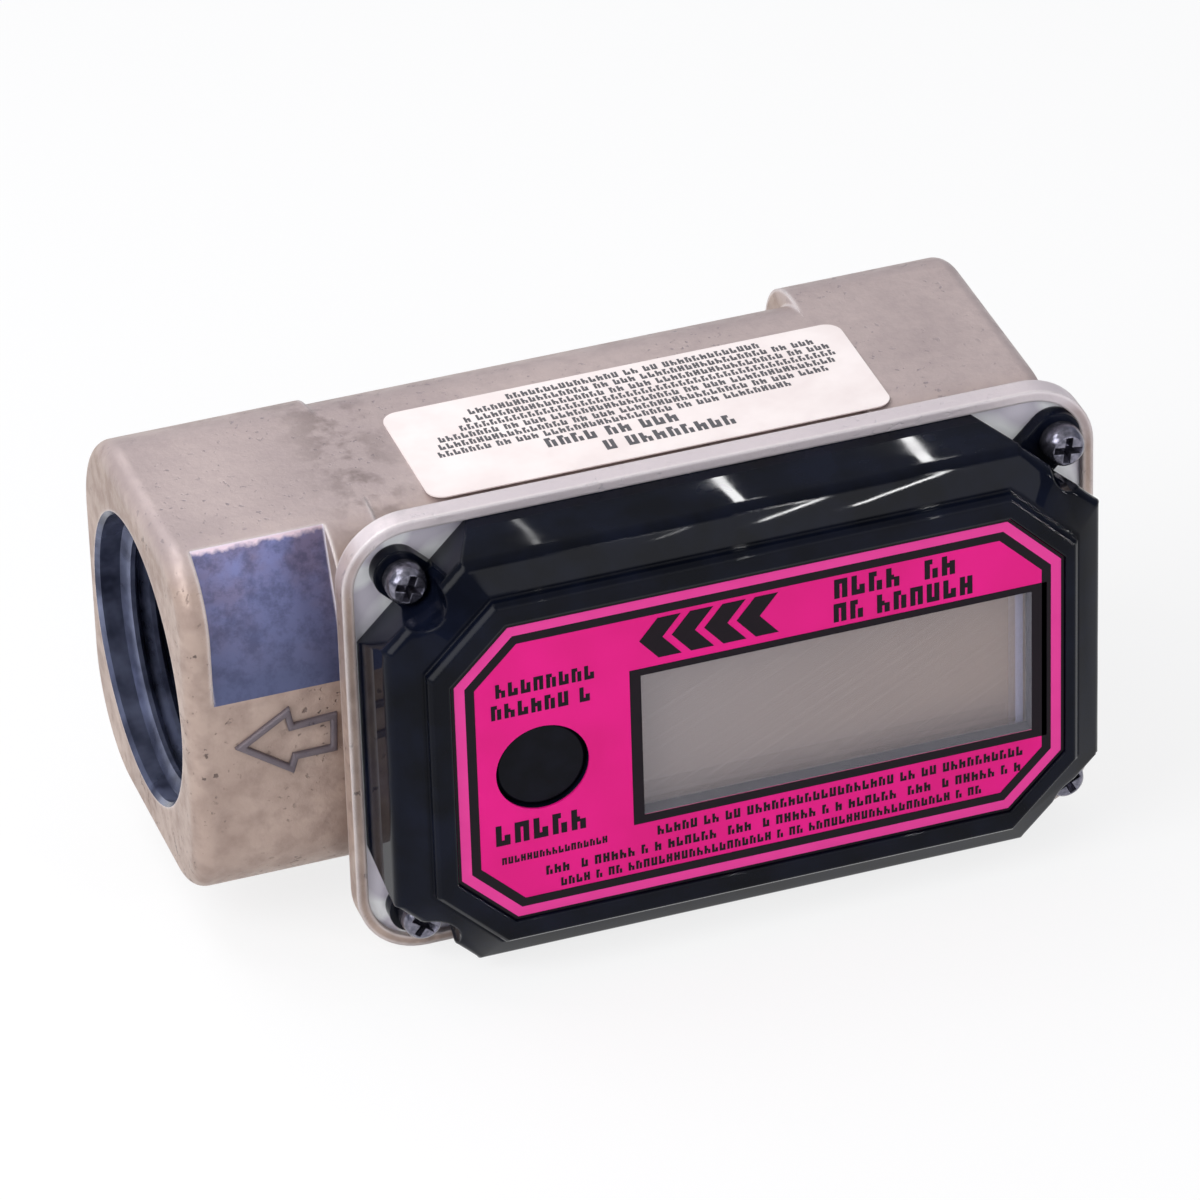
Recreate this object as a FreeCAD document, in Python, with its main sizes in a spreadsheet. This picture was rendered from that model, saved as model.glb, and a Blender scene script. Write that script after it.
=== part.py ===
import FreeCAD, Part
import math
import os
import re

import Sketcher
from FreeCAD import Placement, Rotation, Vector

# Turbine flow meter with 1 inch threaded ports and a battery display.
#
# Every piece is drawn about the middle of the flow axis and then moved by half the body's length,
# so that the origin lies at the centre of the inlet port's mouth.  X runs along the pipe and flow
# goes towards -X, the display faces -Y and Z is up.  "Front" sizes are distances from the flow
# axis towards the display.  All sizes are millimetres.

SIZES = {
    # casting: barrel and end bosses
    "body_length": 104.0,
    "body_height": 45.0,
    "barrel_back": 17.5,
    "barrel_front": 19.0,
    "barrel_round": 10.5,
    "boss_half_depth": 20.5,
    "boss_front_round": 9.0,
    "boss_edge_round": 2.2,
    "outlet_boss_length": 24.3,
    "outlet_boss_round": 13.0,
    "inlet_boss_length": 21.0,
    "inlet_boss_round": 9.0,
    "flat_inset": 3.0,
    "flat_length": 15.5,
    "flat_top": 6.6,
    "flat_drop": 17.0,
    # casting: stepped bore and ports
    "port_radius": 16.6,
    "port_depth": 20.0,
    "port_chamfer": 0.5,
    "support_bore": 12.7,
    "rotor_bore": 12.0,
    "rotor_chamber": 18.0,
    "ring_groove_radius": 13.7,
    "ring_groove_width": 1.2,
    # casting: flange that carries the display cover
    "flange_shift": 9.0,
    "flange_width": 88.6,
    "flange_height": 56.6,
    "flange_round": 8.0,
    "flange_front": 26.4,
    "flange_thickness": 2.6,
    "flare_start": 15.5,
    "flare_middle": 20.3,
    "flare_spread": 4.6,
    "flare_rise": 6.3,
    "flare_bend_share": 0.75,
    "lip_width": 1.3,
    "lip_height": 0.8,
    "cavity_left": 28.0,
    "cavity_right": 34.0,
    "cavity_half_height": 19.5,
    "cavity_floor": 18.5,
    "well_floor": 14.6,
    "well_radius": 6.0,
    # display cover
    "cover_shift": 9.0,
    "cover_width": 85.4,
    "cover_height": 54.0,
    "cover_corner": 13.4,
    "cover_shoulder": 34.0,
    "cover_draft": 0.6,
    "shoulder_corner": 9.5,
    "shoulder_round": 1.6,
    "bezel_base": 36.2,
    "bezel_inset": 4.0,
    "bezel_corner": 10.5,
    "bezel_step": 0.5,
    "bezel_front": 37.6,
    "cover_inner_inset": 4.8,
    "cover_inner_front": 35.2,
    "label_shift": 9.4,
    "label_width": 72.1,
    "label_margin": 7.4,
    "label_corner": 6.6,
    "label_seat": 37.0,
    "label_thickness": 0.25,
    "label_gap": 0.15,
    "window_shift": 18.1,
    "window_width": 47.0,
    "window_margin": 17.7,
    "window_gap": 0.1,
    "window_step": 1.2,
    # gasket
    "gasket_inset": 1.0,
    "gasket_width": 1.8,
    "gasket_depth": 1.0,
    # cover screws
    "screw_inset_left": 4.7,
    "screw_inset_right": 3.3,
    "screw_drop_left": 4.6,
    "screw_drop_right": 4.6,
    "screw_head_radius": 2.8,
    "screw_head_height": 2.8,
    "screw_radius": 1.3,
    "screw_hole_gap": 0.05,
    "screw_end": 22.2,
    "screw_ledge": 27.4,
    "screw_ear_radius": 2.9,
    "screw_ear_neck": 5.0,
    "screw_scallop": 3.1,
    # button and switch
    "button_left": 16.4,
    "button_radius": 5.2,
    "button_gap": 0.25,
    "button_front": 36.6,
    "button_flange": 6.3,
    "button_flange_back": 34.3,
    "button_flange_gap": 0.1,
    "button_travel": 0.35,
    "button_chamfer": 0.25,
    "stem_radius": 2.4,
    "stem_back": 33.9,
    "switch_size": 6.0,
    "switch_front": 33.0,
    "plunger_radius": 1.7,
    "plunger_gap": 0.3,
    "plunger_back": 32.6,
    "plunger_end_gap": 0.15,
    # circuit board and what stands on it
    "board_back": 29.6,
    "board_thickness": 1.6,
    "board_clearance": 0.5,
    "board_inset_left": 9.1,
    "board_inset_right": 10.7,
    "board_drop_left": 14.4,
    "board_drop_right": 12.8,
    "board_post_radius": 2.0,
    "board_screw_radius": 0.9,
    "board_head_radius": 1.5,
    "board_head_height": 1.1,
    "board_screw_length": 4.4,
    # liquid crystal panel
    "panel_width": 50.0,
    "panel_margin": 16.1,
    "panel_thickness": 2.2,
    "panel_back": 32.7,
    "holder_wall": 0.8,
    "holder_gap": 0.1,
    "holder_rim": 0.6,
    "strip_width": 1.6,
    "strip_length": 44.0,
    "strip_inset": 0.6,
    "chip_side": 10.0,
    "chip_height": 1.1,
    "part_length": 6.0,
    "part_width": 3.2,
    "part_height": 1.8,
    "part_left": 32.0,
    "part_spacing": 8.0,
    "crystal_radius": 1.4,
    "crystal_length": 7.0,
    "crystal_drop": 6.0,
    # batteries
    "cell_radius": 5.25,
    "cell_length": 43.5,
    "cell_nub_radius": 1.9,
    "cell_nub_length": 1.0,
    "cell_half_spacing": 12.0,
    "cell_axis": 24.05,
    "contact_thickness": 0.5,
    "contact_width": 8.0,
    "contact_back": 20.0,
    # pickup coil
    "bobbin_tube_radius": 2.7,
    "bobbin_bore_radius": 1.6,
    "bobbin_flange": 5.6,
    "bobbin_cheek": 1.0,
    "bobbin_front": 28.0,
    "coil_radius": 5.2,
    "core_gap": 0.05,
    "core_front": 28.6,
    "pin_radius": 0.35,
    "pin_spacing": 5.0,
    # turbine rotor
    "hub_radius": 5.0,
    "hub_length": 13.0,
    "hub_round": 0.6,
    "hub_bore": 1.4,
    "blade_count": 6.0,
    "blade_chord": 10.6,
    "blade_root_radius": 4.4,
    "blade_tip_radius": 11.6,
    "blade_root_swing": 1.6,
    "blade_tip_swing": 4.0,
    "blade_spare": 1.0,
    "blade_thickness": 1.3,
    "blade_edge": 0.5,
    "bearing_radius": 2.0,
    "bearing_length": 4.0,
    "shaft_radius": 1.0,
    "shaft_chamfer": 0.3,
    "running_gap": 0.05,
    "press_gap": 0.02,
    "magnet_radius": 1.1,
    "magnet_length": 8.0,
    "magnet_orbit": 3.3,
    "magnet_count": 4.0,
    # supports that straighten the flow and hold the shaft
    "ring_land": 1.8,
    "support_gap": 0.05,
    "support_wall": 1.1,
    "support_hub_radius": 5.0,
    "support_hub_start": 7.3,
    "hub_end_gap": 5.0,
    "nose_waist_length": 2.25,
    "nose_waist_radius": 4.25,
    "nose_neck_length": 4.0,
    "nose_neck_radius": 2.75,
    "nose_tip_length": 5.0,
    "nose_tip_radius": 1.2,
    "vane_count": 5.0,
    "vane_thickness": 1.2,
    "vane_start": 11.0,
    "vane_end_gap": 3.0,
    "vane_sink": 1.0,
    "shaft_length": 28.0,
    "washer_radius": 2.6,
    "washer_thickness": 0.45,
    # snap rings
    "ring_inner_radius": 11.9,
    "ring_thickness": 1.1,
    "ring_gap": 0.1,
    "ring_open_angle": 40.0,
    "ring_lug_radius": 1.5,
    "ring_lug_orbit": 11.7,
    "ring_lug_angle": 4.0,
    "ring_eye_radius": 0.6,
    # label on the top of the barrel
    "plate_left": 21.0,
    "plate_right": 34.0,
    "plate_front": 14.5,
    "plate_back": 4.5,
    "plate_round": 2.0,
    "plate_thickness": 0.15,
}

SAME_PLACE = 0.01

os.makedirs("parts", exist_ok=True)
doc = FreeCAD.newDocument("TurbineFlowMeter")
sheet = doc.addObject("Spreadsheet::Sheet", "Sizes")
for row, (alias, number) in enumerate(SIZES.items(), start=1):
    sheet.set("A%d" % row, str(number))
    sheet.setAlias("A%d" % row, alias)
doc.recompute()


# ---- expressions, sketches and features -------------------------------------------------------

def formula(text):
    """A formula over the sheet's names, as FreeCAD writes it."""
    return re.sub(r"[a-z][a-z_]+", lambda word: "Sizes." + word.group() if word.group() in SIZES
                  else word.group(), text)


def value(text):
    """What a formula comes to, as a number."""
    return float(sheet.evalExpression(formula(text)))


def bind(thing, path, text):
    """Tie a property to a formula."""
    thing.setExpression(path, formula(text))


def new_body(label, turned=False):
    """An empty body, moved so that the inlet's mouth is the origin; turned faces it the other way."""
    body = doc.addObject("PartDesign::Body", label)
    body.Label = label
    turn = Rotation(Vector(0, 0, 1), 180 if turned else 0)
    body.Placement = Placement(Vector(0, 0, 0), turn)
    bind(body, "Placement.Base.x", "-body_length / 2")
    return body


def new_sketch(body, name, plane, offset="0"):
    """A sketch on one of the body's planes: XY, XZ (faces the front) or YZ (faces the inlet)."""
    sketch = body.newObject("Sketcher::SketchObject", name)
    base = [item for item in body.Origin.OriginFeatures if item.Role == plane + "_Plane"][0]
    sketch.AttachmentSupport = (base, [""])
    sketch.MapMode = "FlatFace"
    bind(sketch, "AttachmentOffset.Base.z", offset)
    return sketch


def tie(sketch, kind, where, text):
    """A dimension of a sketch that follows a formula."""
    index = sketch.addConstraint(Sketcher.Constraint(kind, *where, value(text)))
    sketch.setExpression("Constraints[%d]" % index, formula(text))


def place_point(sketch, curve, point, across, up):
    """Fix a point of a curve by two formulas from the sketch's origin."""
    tie(sketch, "DistanceX", (-1, 1, curve, point), across)
    tie(sketch, "DistanceY", (-1, 1, curve, point), up)


def draw_polygon(sketch, corners):
    """A closed outline of straight lines; each corner is a pair of formulas."""
    spots = [Vector(value(across), value(up), 0) for across, up in corners]
    first = sketch.GeometryCount
    count = len(corners)
    for n in range(count):
        sketch.addGeometry(Part.LineSegment(spots[n], spots[(n + 1) % count]), False)
    for n in range(count):
        following = first + (n + 1) % count
        sketch.addConstraint(Sketcher.Constraint("Coincident", first + n, 2, following, 1))
    for n, (across, up) in enumerate(corners):
        place_point(sketch, first + n, 1, across, up)


def draw_box(sketch, left, right, low, high):
    """A rectangle."""
    draw_polygon(sketch, [(left, low), (right, low), (right, high), (left, high)])


def draw_cut_box(sketch, left, right, low, high, cut):
    """A rectangle with its four corners cut off at 45 degrees."""
    draw_polygon(sketch, [
        ("%s + %s" % (left, cut), low), ("%s - (%s)" % (right, cut), low),
        (right, "%s + %s" % (low, cut)), (right, "%s - (%s)" % (high, cut)),
        ("%s - (%s)" % (right, cut), high), ("%s + %s" % (left, cut), high),
        (left, "%s - (%s)" % (high, cut)), (left, "%s + %s" % (low, cut))])


def draw_round_box(sketch, left, right, low, high, radii):
    """A rectangle with round corners: radii from the low left corner, anticlockwise."""
    x_low, x_high, y_low, y_high = value(left), value(right), value(low), value(high)
    r_a, r_b, r_c, r_d = [value(text) for text in radii]
    first = sketch.GeometryCount
    sides = [((x_low + r_a, y_low), (x_high - r_b, y_low)), ((x_high, y_low + r_b), (x_high, y_high - r_c)),
             ((x_high - r_c, y_high), (x_low + r_d, y_high)), ((x_low, y_high - r_d), (x_low, y_low + r_a))]
    for start, end in sides:
        sketch.addGeometry(Part.LineSegment(Vector(*start, 0), Vector(*end, 0)), False)
    centres = [(x_high - r_b, y_low + r_b, r_b), (x_high - r_c, y_high - r_c, r_c),
               (x_low + r_d, y_high - r_d, r_d), (x_low + r_a, y_low + r_a, r_a)]
    for n, (x, y, r) in enumerate(centres):
        circle = Part.Circle(Vector(x, y, 0), Vector(0, 0, 1), r)
        start = circle.parameter(Vector(*sides[n][1], 0))
        sketch.addGeometry(Part.ArcOfCircle(circle, start, start + math.pi / 2), False)
    for n in range(4):
        line, arc, following = first + n, first + 4 + n, first + (n + 1) % 4
        sketch.addConstraint(Sketcher.Constraint("Tangent", line, 2, arc, 1))
        sketch.addConstraint(Sketcher.Constraint("Tangent", arc, 2, following, 1))
        tie(sketch, "Radius", (arc,), radii[(n + 1) % 4])
    sketch.addConstraint(Sketcher.Constraint("Horizontal", first))
    sketch.addConstraint(Sketcher.Constraint("Vertical", first + 1))
    sketch.addConstraint(Sketcher.Constraint("Horizontal", first + 2))
    sketch.addConstraint(Sketcher.Constraint("Vertical", first + 3))
    tie(sketch, "DistanceY", (-1, 1, first, 1), low)
    tie(sketch, "DistanceX", (-1, 1, first + 1, 1), right)
    tie(sketch, "DistanceY", (-1, 1, first + 2, 1), high)
    tie(sketch, "DistanceX", (-1, 1, first + 3, 1), left)


def draw_circle(sketch, across, up, radius):
    """A circle whose centre and radius are formulas."""
    centre = Vector(value(across), value(up), 0)
    curve = sketch.addGeometry(Part.Circle(centre, Vector(0, 0, 1), value(radius)), False)
    place_point(sketch, curve, 3, across, up)
    tie(sketch, "Radius", (curve,), radius)


def extrude(kind, body, name, sketch, length, reverse=False):
    """A Pad or a Pocket of a sketch; a Pocket cuts against the sketch's facing unless reversed."""
    feature = body.newObject("PartDesign::" + kind, name)
    feature.Profile = (sketch, [""])
    feature.Reversed = reverse
    bind(feature, "Length", length)
    return feature


def revolve(kind, body, name, sketch, axis="H_Axis", angle="360"):
    """A Revolution or a Groove of a sketch about one of its own axes."""
    feature = body.newObject("PartDesign::" + kind, name)
    feature.Profile = (sketch, [""])
    feature.ReferenceAxis = (sketch, [axis])
    bind(feature, "Angle", angle)
    return feature


def loft(body, name, sketches):
    """A straight-sided loft through several outlines."""
    feature = body.newObject("PartDesign::AdditiveLoft", name)
    feature.Profile = (sketches[0], [""])
    feature.Sections = [(sketch, [""]) for sketch in sketches[1:]]
    feature.Ruled = True
    return feature


def repeat_round(body, name, feature, sketch, axis, count):
    """Copies of a feature all round one of a sketch's axes."""
    pattern = body.newObject("PartDesign::PolarPattern", name)
    pattern.Originals = [feature]
    pattern.Axis = (sketch, [axis])
    pattern.Angle = 360
    bind(pattern, "Occurrences", count)
    body.Tip = pattern
    return pattern


def trim_edges(kind, body, name, chosen, size):
    """A Fillet or a Chamfer of the edges that the test picks out of the body so far."""
    doc.recompute()
    tip = body.Tip
    edges = ["Edge%d" % (n + 1) for n, edge in enumerate(tip.Shape.Edges) if chosen(edge)]
    feature = body.newObject("PartDesign::" + kind, name)
    feature.Base = (tip, edges)
    bind(feature, "Radius" if kind == "Fillet" else "Size", size)
    return feature


def lies_at(axis, *places):
    """A test for the edges that lie wholly in one of the planes where x, y or z is a place."""
    def test(edge):
        spots = [getattr(vertex.Point, axis) for vertex in edge.Vertexes]
        return any(all(abs(spot - place) < SAME_PLACE for spot in spots) for place in places)
    return test


def solid_cylinder(name, radius, length, spot, facing):
    """A Part cylinder from a spot, along a direction; the spot is three formulas."""
    item = doc.addObject("Part::Cylinder", name)
    bind(item, "Radius", radius)
    bind(item, "Height", length)
    item.Placement = Placement(Vector(0, 0, 0), Rotation(Vector(0, 0, 1), facing))
    for letter, text in zip("xyz", spot):
        bind(item, "Placement.Base." + letter, text)
    return item


def solid_box(name, low, high):
    """A Part box between two corners, each three formulas."""
    item = doc.addObject("Part::Box", name)
    for side, letter, start, end in zip(("Length", "Width", "Height"), "xyz", low, high):
        bind(item, side, "%s - (%s)" % (end, start))
        bind(item, "Placement.Base." + letter, start)
    return item


def group(label, pieces):
    """Several separate solids as one sub-part."""
    item = doc.addObject("Part::Compound", label)
    item.Label = label
    item.Links = pieces
    bind(item, "Placement.Base.x", "-body_length / 2")
    return item


def fused(name, pieces):
    """Part solids joined into one."""
    item = doc.addObject("Part::MultiFuse", name)
    item.Shapes = pieces
    return item


FRONT = Vector(0, -1, 0)
BACK = Vector(0, 1, 0)
ALONG = Vector(1, 0, 0)
SUPPORT_END = "(body_length / 2 - port_depth - ring_land - ring_groove_width)"


# ---- casting ------------------------------------------------------------------------------------

def boss(body, name, offset, length, round_back, reverse):
    """One end boss: a block with rounded corners round the port."""
    sketch = new_sketch(body, name + "_outline", "YZ", offset)
    corners = ["boss_front_round", round_back, round_back, "boss_front_round"]
    draw_round_box(sketch, "-boss_half_depth", "boss_half_depth", "-body_height / 2",
                   "body_height / 2", corners)
    extrude("Pad", body, name, sketch, length, reverse)


def flange_outline(body, name, offset, inset_side, inset_top, radius):
    """The flange's outline, drawn in by an inset."""
    sketch = new_sketch(body, name, "XZ", offset)
    draw_round_box(sketch, "flange_shift - flange_width / 2 + %s" % inset_side,
                   "flange_shift + flange_width / 2 - (%s)" % inset_side,
                   "-flange_height / 2 + %s" % inset_top, "flange_height / 2 - (%s)" % inset_top,
                   [radius] * 4)
    return sketch


def cover_outline(body, name, offset, inset, corner="cover_corner"):
    """The cover's outline with cut corners, drawn in evenly by an inset."""
    sketch = new_sketch(body, name, "XZ", offset)
    draw_cover_outline(sketch, inset, corner)
    return sketch


def draw_cover_outline(sketch, inset, corner="cover_corner"):
    """Cut corners stay parallel when the outline is drawn in, so each cut shrinks by 2 - sqrt(2)."""
    draw_cut_box(sketch, "cover_shift - cover_width / 2 + %s" % inset,
                 "cover_shift + cover_width / 2 - (%s)" % inset,
                 "-cover_height / 2 + %s" % inset, "cover_height / 2 - (%s)" % inset,
                 "(%s - (%s) * (2 - sqrt(2)))" % (corner, inset))


def corner_places(family):
    """Four places set in from the cover's corners by a family of sizes, as X and Z formulas."""
    places = []
    for side, sign in (("left", "-"), ("right", "+")):
        across = "cover_shift {0} (cover_width / 2 - {1}_inset_{2})".format(sign, family, side)
        up = "(cover_height / 2 - {0}_drop_{1})".format(family, side)
        places += [(across, "-" + up), (across, up)]
    return places


def draw_ear_neck(sketch, across, up):
    """A bar at 45 degrees that joins a screw's ear to the cover's cut corner."""
    side = "-" if across.startswith("cover_shift +") else "+"
    rise = "+" if up.startswith("-") else "-"
    width = "screw_ear_radius / sqrt(2)"
    reach = "screw_ear_neck / sqrt(2)"
    near = ("%s %s %s" % (across, side, width), "(%s) %s (-1) * %s" % (up, rise, width))
    far = ("%s %s (-1) * %s" % (across, side, width), "(%s) %s %s" % (up, rise, width))
    ends = [("%s %s %s" % (x, side, reach), "%s %s %s" % (z, rise, reach)) for x, z in (far, near)]
    draw_polygon(sketch, [near, far] + ends)


def bore_profile():
    """Half of the stepped bore from the middle to one port's mouth, as X and radius."""
    groove_end = SUPPORT_END + " + ring_groove_width"
    port_start = "body_length / 2 - port_depth"
    return [
        ("rotor_chamber / 2", "rotor_bore"), ("rotor_chamber / 2", "support_bore"),
        (SUPPORT_END, "support_bore"), (SUPPORT_END, "ring_groove_radius"),
        (groove_end, "ring_groove_radius"), (groove_end, "support_bore"),
        (port_start, "support_bore"), (port_start, "port_radius"),
        ("body_length / 2 - port_chamfer", "port_radius"),
        ("body_length / 2", "port_radius + port_chamfer")]


def make_meter_body():
    body = new_body("meter_body")
    barrel = new_sketch(body, "barrel_outline", "YZ", "-body_length / 2 + outlet_boss_length / 2")
    draw_round_box(barrel, "-barrel_front", "barrel_back", "-body_height / 2", "body_height / 2",
                   ["boss_front_round", "barrel_round", "barrel_round", "boss_front_round"])
    extrude("Pad", body, "barrel", barrel,
            "body_length - outlet_boss_length / 2 - inlet_boss_length / 2")
    boss(body, "outlet_boss", "-body_length / 2", "outlet_boss_length", "outlet_boss_round", False)
    boss(body, "inlet_boss", "body_length / 2", "inlet_boss_length", "inlet_boss_round", True)

    wrench = new_sketch(body, "wrench_flat_outline", "YZ", "-body_length / 2 + flat_inset")
    draw_polygon(wrench, [
        ("-boss_half_depth + flat_top", "body_height / 2"),
        ("-boss_half_depth", "body_height / 2 - flat_drop"),
        ("-boss_half_depth - flat_top", "body_height / 2 - flat_drop"),
        ("-boss_half_depth - flat_top", "body_height / 2 + flat_top"),
        ("-boss_half_depth + flat_top", "body_height / 2 + flat_top")])
    extrude("Pocket", body, "wrench_flat", wrench, "flat_length", True)

    end = value("body_length / 2")
    trim_edges("Fillet", body, "boss_end_round", lies_at("x", end, -end), "boss_edge_round")

    flange_back = "flange_front - flange_thickness"
    flare = [
        flange_outline(body, "flare_root", "flare_start", "flare_spread", "flare_rise", "flange_round"),
        flange_outline(body, "flare_bend", "flare_middle", "flare_spread * flare_bend_share",
                       "flare_rise * flare_bend_share", "flange_round"),
        flange_outline(body, "flare_rim", flange_back, "0", "0", "flange_round")]
    loft(body, "flare", flare)
    extrude("Pad", body, "flange", flange_outline(body, "flange_outline", flange_back, "0", "0",
            "flange_round"), "flange_thickness")

    recess = flange_outline(body, "recess_outline", "flange_front", "lip_width", "lip_width",
                            "(flange_round - lip_width)")
    extrude("Pocket", body, "cover_recess", recess, "lip_height")
    seat = "flange_front - lip_height"
    groove = new_sketch(body, "gasket_groove_outline", "XZ", seat)
    draw_cover_outline(groove, "gasket_inset")
    draw_cover_outline(groove, "(gasket_inset + gasket_width)")
    extrude("Pocket", body, "gasket_groove", groove, "gasket_depth")
    cavity = new_sketch(body, "cavity_outline", "XZ", seat)
    draw_box(cavity, "-cavity_left", "cavity_right", "-cavity_half_height", "cavity_half_height")
    extrude("Pocket", body, "battery_cavity", cavity, seat + " - cavity_floor")
    well = new_sketch(body, "well_outline", "XZ", "cavity_floor")
    draw_circle(well, "0", "0", "well_radius")
    extrude("Pocket", body, "pickup_well", well, "cavity_floor - well_floor")
    holes = new_sketch(body, "screw_hole_outline", "XZ", seat)
    for across, up in corner_places("screw"):
        draw_circle(holes, across, up, "screw_radius + screw_hole_gap")
    extrude("Pocket", body, "screw_holes", holes, seat + " - screw_end")

    bore = new_sketch(body, "bore_outline", "XY")
    half_bore = bore_profile()
    mirrored = [("-(%s)" % along, radius) for along, radius in reversed(half_bore)]
    on_axis = [("body_length / 2", "0"), ("-body_length / 2", "0")]
    draw_polygon(bore, on_axis + mirrored + half_bore)
    revolve("Groove", body, "stepped_bore", bore)


# ---- turbine ------------------------------------------------------------------------------------

def blade_section(body, name, radius, swing):
    """A blade's section at one radius: thin at both edges, swung round by the twist."""
    sketch = new_sketch(body, name, "XY", radius)
    half = "blade_chord / 2"
    draw_polygon(sketch, [
        ("-" + half, "-%s - blade_edge / 2" % swing), ("0", "-blade_thickness / 2"),
        (half, "%s - blade_edge / 2" % swing), (half, "%s + blade_edge / 2" % swing),
        ("0", "blade_thickness / 2"), ("-" + half, "-%s + blade_edge / 2" % swing)])
    return sketch


def make_rotor():
    body = new_body("rotor")
    hub = new_sketch(body, "hub_outline", "XY")
    half = "hub_length / 2"
    seat = "hub_length / 2 - bearing_length"
    outer = "bearing_radius + press_gap"
    draw_polygon(hub, [
        ("-" + half, outer), ("-(%s)" % seat, outer), ("-(%s)" % seat, "hub_bore"),
        (seat, "hub_bore"), (seat, outer), (half, outer), (half, "hub_radius - hub_round"),
        (half + " - hub_round", "hub_radius"), ("-(%s - hub_round)" % half, "hub_radius"),
        ("-" + half, "hub_radius - hub_round")])
    revolve("Revolution", body, "hub", hub)
    sections = [blade_section(body, "blade_root", "blade_root_radius", "blade_root_swing"),
                blade_section(body, "blade_tip", "blade_tip_radius + blade_spare", "blade_tip_swing")]
    blade = loft(body, "blade", sections)
    repeat_round(body, "blades", blade, hub, "H_Axis", "blade_count")
    trim = new_sketch(body, "tip_trim_outline", "XY")
    draw_box(trim, "-blade_chord", "blade_chord", "blade_tip_radius",
             "blade_tip_radius + blade_spare + blade_tip_swing")
    revolve("Groove", body, "tip_trim", trim)
    pockets = new_sketch(body, "magnet_pocket_outline", "YZ", "-magnet_length / 2")
    draw_circle(pockets, "0", "magnet_orbit", "magnet_radius + press_gap")
    pocket = extrude("Pocket", body, "magnet_pocket", pockets, "magnet_length / 2 + hub_length / 2", True)
    repeat_round(body, "magnet_pockets", pocket, pockets, "N_Axis", "magnet_count")


def make_rotor_magnets():
    count = int(value("magnet_count"))
    magnets = []
    for n in range(count):
        angle = "%d * 360 / magnet_count" % n
        spot = ("-magnet_length / 2", "magnet_orbit * sin((%s) * 1deg)" % angle,
                "magnet_orbit * cos((%s) * 1deg)" % angle)
        magnets.append(solid_cylinder("magnet_%d" % n, "magnet_radius", "magnet_length", spot, ALONG))
    group("rotor_magnets", magnets)


def make_bearing(label, turned):
    body = new_body(label, turned)
    sketch = new_sketch(body, label + "_outline", "XY")
    draw_box(sketch, "hub_length / 2 - bearing_length", "hub_length / 2", "shaft_radius + running_gap",
             "bearing_radius")
    revolve("Revolution", body, label + "_bush", sketch)


def make_washer(label, turned):
    body = new_body(label, turned)
    sketch = new_sketch(body, label + "_outline", "XY")
    draw_box(sketch, "support_hub_start - washer_thickness", "support_hub_start",
             "shaft_radius + running_gap", "washer_radius")
    revolve("Revolution", body, label + "_disc", sketch)


def make_rotor_shaft():
    body = new_body("rotor_shaft")
    sketch = new_sketch(body, "shaft_outline", "XY")
    draw_polygon(sketch, [
        ("-shaft_length / 2", "0"), ("shaft_length / 2", "0"),
        ("shaft_length / 2", "shaft_radius - shaft_chamfer"),
        ("shaft_length / 2 - shaft_chamfer", "shaft_radius"),
        ("-shaft_length / 2 + shaft_chamfer", "shaft_radius"),
        ("-shaft_length / 2", "shaft_radius - shaft_chamfer")])
    revolve("Revolution", body, "shaft", sketch)


def make_support(label, turned):
    """A ring in the bore, straight vanes and a round-nosed hub that holds one end of the shaft."""
    body = new_body(label, turned)
    ring = new_sketch(body, label + "_ring_outline", "XY")
    draw_box(ring, "rotor_chamber / 2", SUPPORT_END,
             "support_bore - support_gap - support_wall", "support_bore - support_gap")
    revolve("Revolution", body, label + "_ring", ring)
    vane_outline = new_sketch(body, label + "_vane_outline", "YZ", "vane_start")
    draw_box(vane_outline, "-vane_thickness / 2", "vane_thickness / 2", "support_hub_radius - vane_sink",
             "support_bore - support_gap - support_wall / 2")
    vane = extrude("Pad", body, label + "_vane", vane_outline,
                   SUPPORT_END + " - vane_end_gap - vane_start")
    repeat_round(body, label + "_vanes", vane, ring, "H_Axis", "vane_count")
    hub = new_sketch(body, label + "_hub_outline", "XY")
    hub_end = SUPPORT_END + " - hub_end_gap"
    hole_end = "shaft_length / 2 + press_gap"
    hole_radius = "shaft_radius + press_gap"
    draw_polygon(hub, [
        ("support_hub_start", hole_radius), (hole_end, hole_radius),
        (hole_end, "0"), (hub_end + " + nose_tip_length", "0"),
        (hub_end + " + nose_tip_length", "nose_tip_radius"),
        (hub_end + " + nose_neck_length", "nose_neck_radius"),
        (hub_end + " + nose_waist_length", "nose_waist_radius"),
        (hub_end, "support_hub_radius"), ("support_hub_start", "support_hub_radius")])
    revolve("Revolution", body, label + "_hub", hub)


def make_retaining_ring(label, turned):
    """An open spring ring in its groove, with an eyed lug at each end."""
    body = new_body(label, turned)
    start = SUPPORT_END + " + (ring_groove_width - ring_thickness) / 2"
    section = new_sketch(body, label + "_section", "XY")
    draw_box(section, start, start + " + ring_thickness", "ring_inner_radius",
             "ring_groove_radius - ring_gap")
    revolve("Revolution", body, label + "_band", section, "H_Axis", "360 - ring_open_angle")
    lugs = new_sketch(body, label + "_lug_outline", "YZ", start)
    eyes = new_sketch(body, label + "_eye_outline", "YZ", start)
    for angle in ("(0 - ring_lug_angle)", "(ring_lug_angle - ring_open_angle)"):
        spot = ("-ring_lug_orbit * cos(%s * 1deg)" % angle, "ring_lug_orbit * sin(%s * 1deg)" % angle)
        draw_circle(lugs, *spot, "ring_lug_radius")
        draw_circle(eyes, *spot, "ring_eye_radius")
    extrude("Pad", body, label + "_lugs", lugs, "ring_thickness")
    extrude("Pocket", body, label + "_eyes", eyes, "ring_thickness", True)


# ---- pickup coil --------------------------------------------------------------------------------

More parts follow.
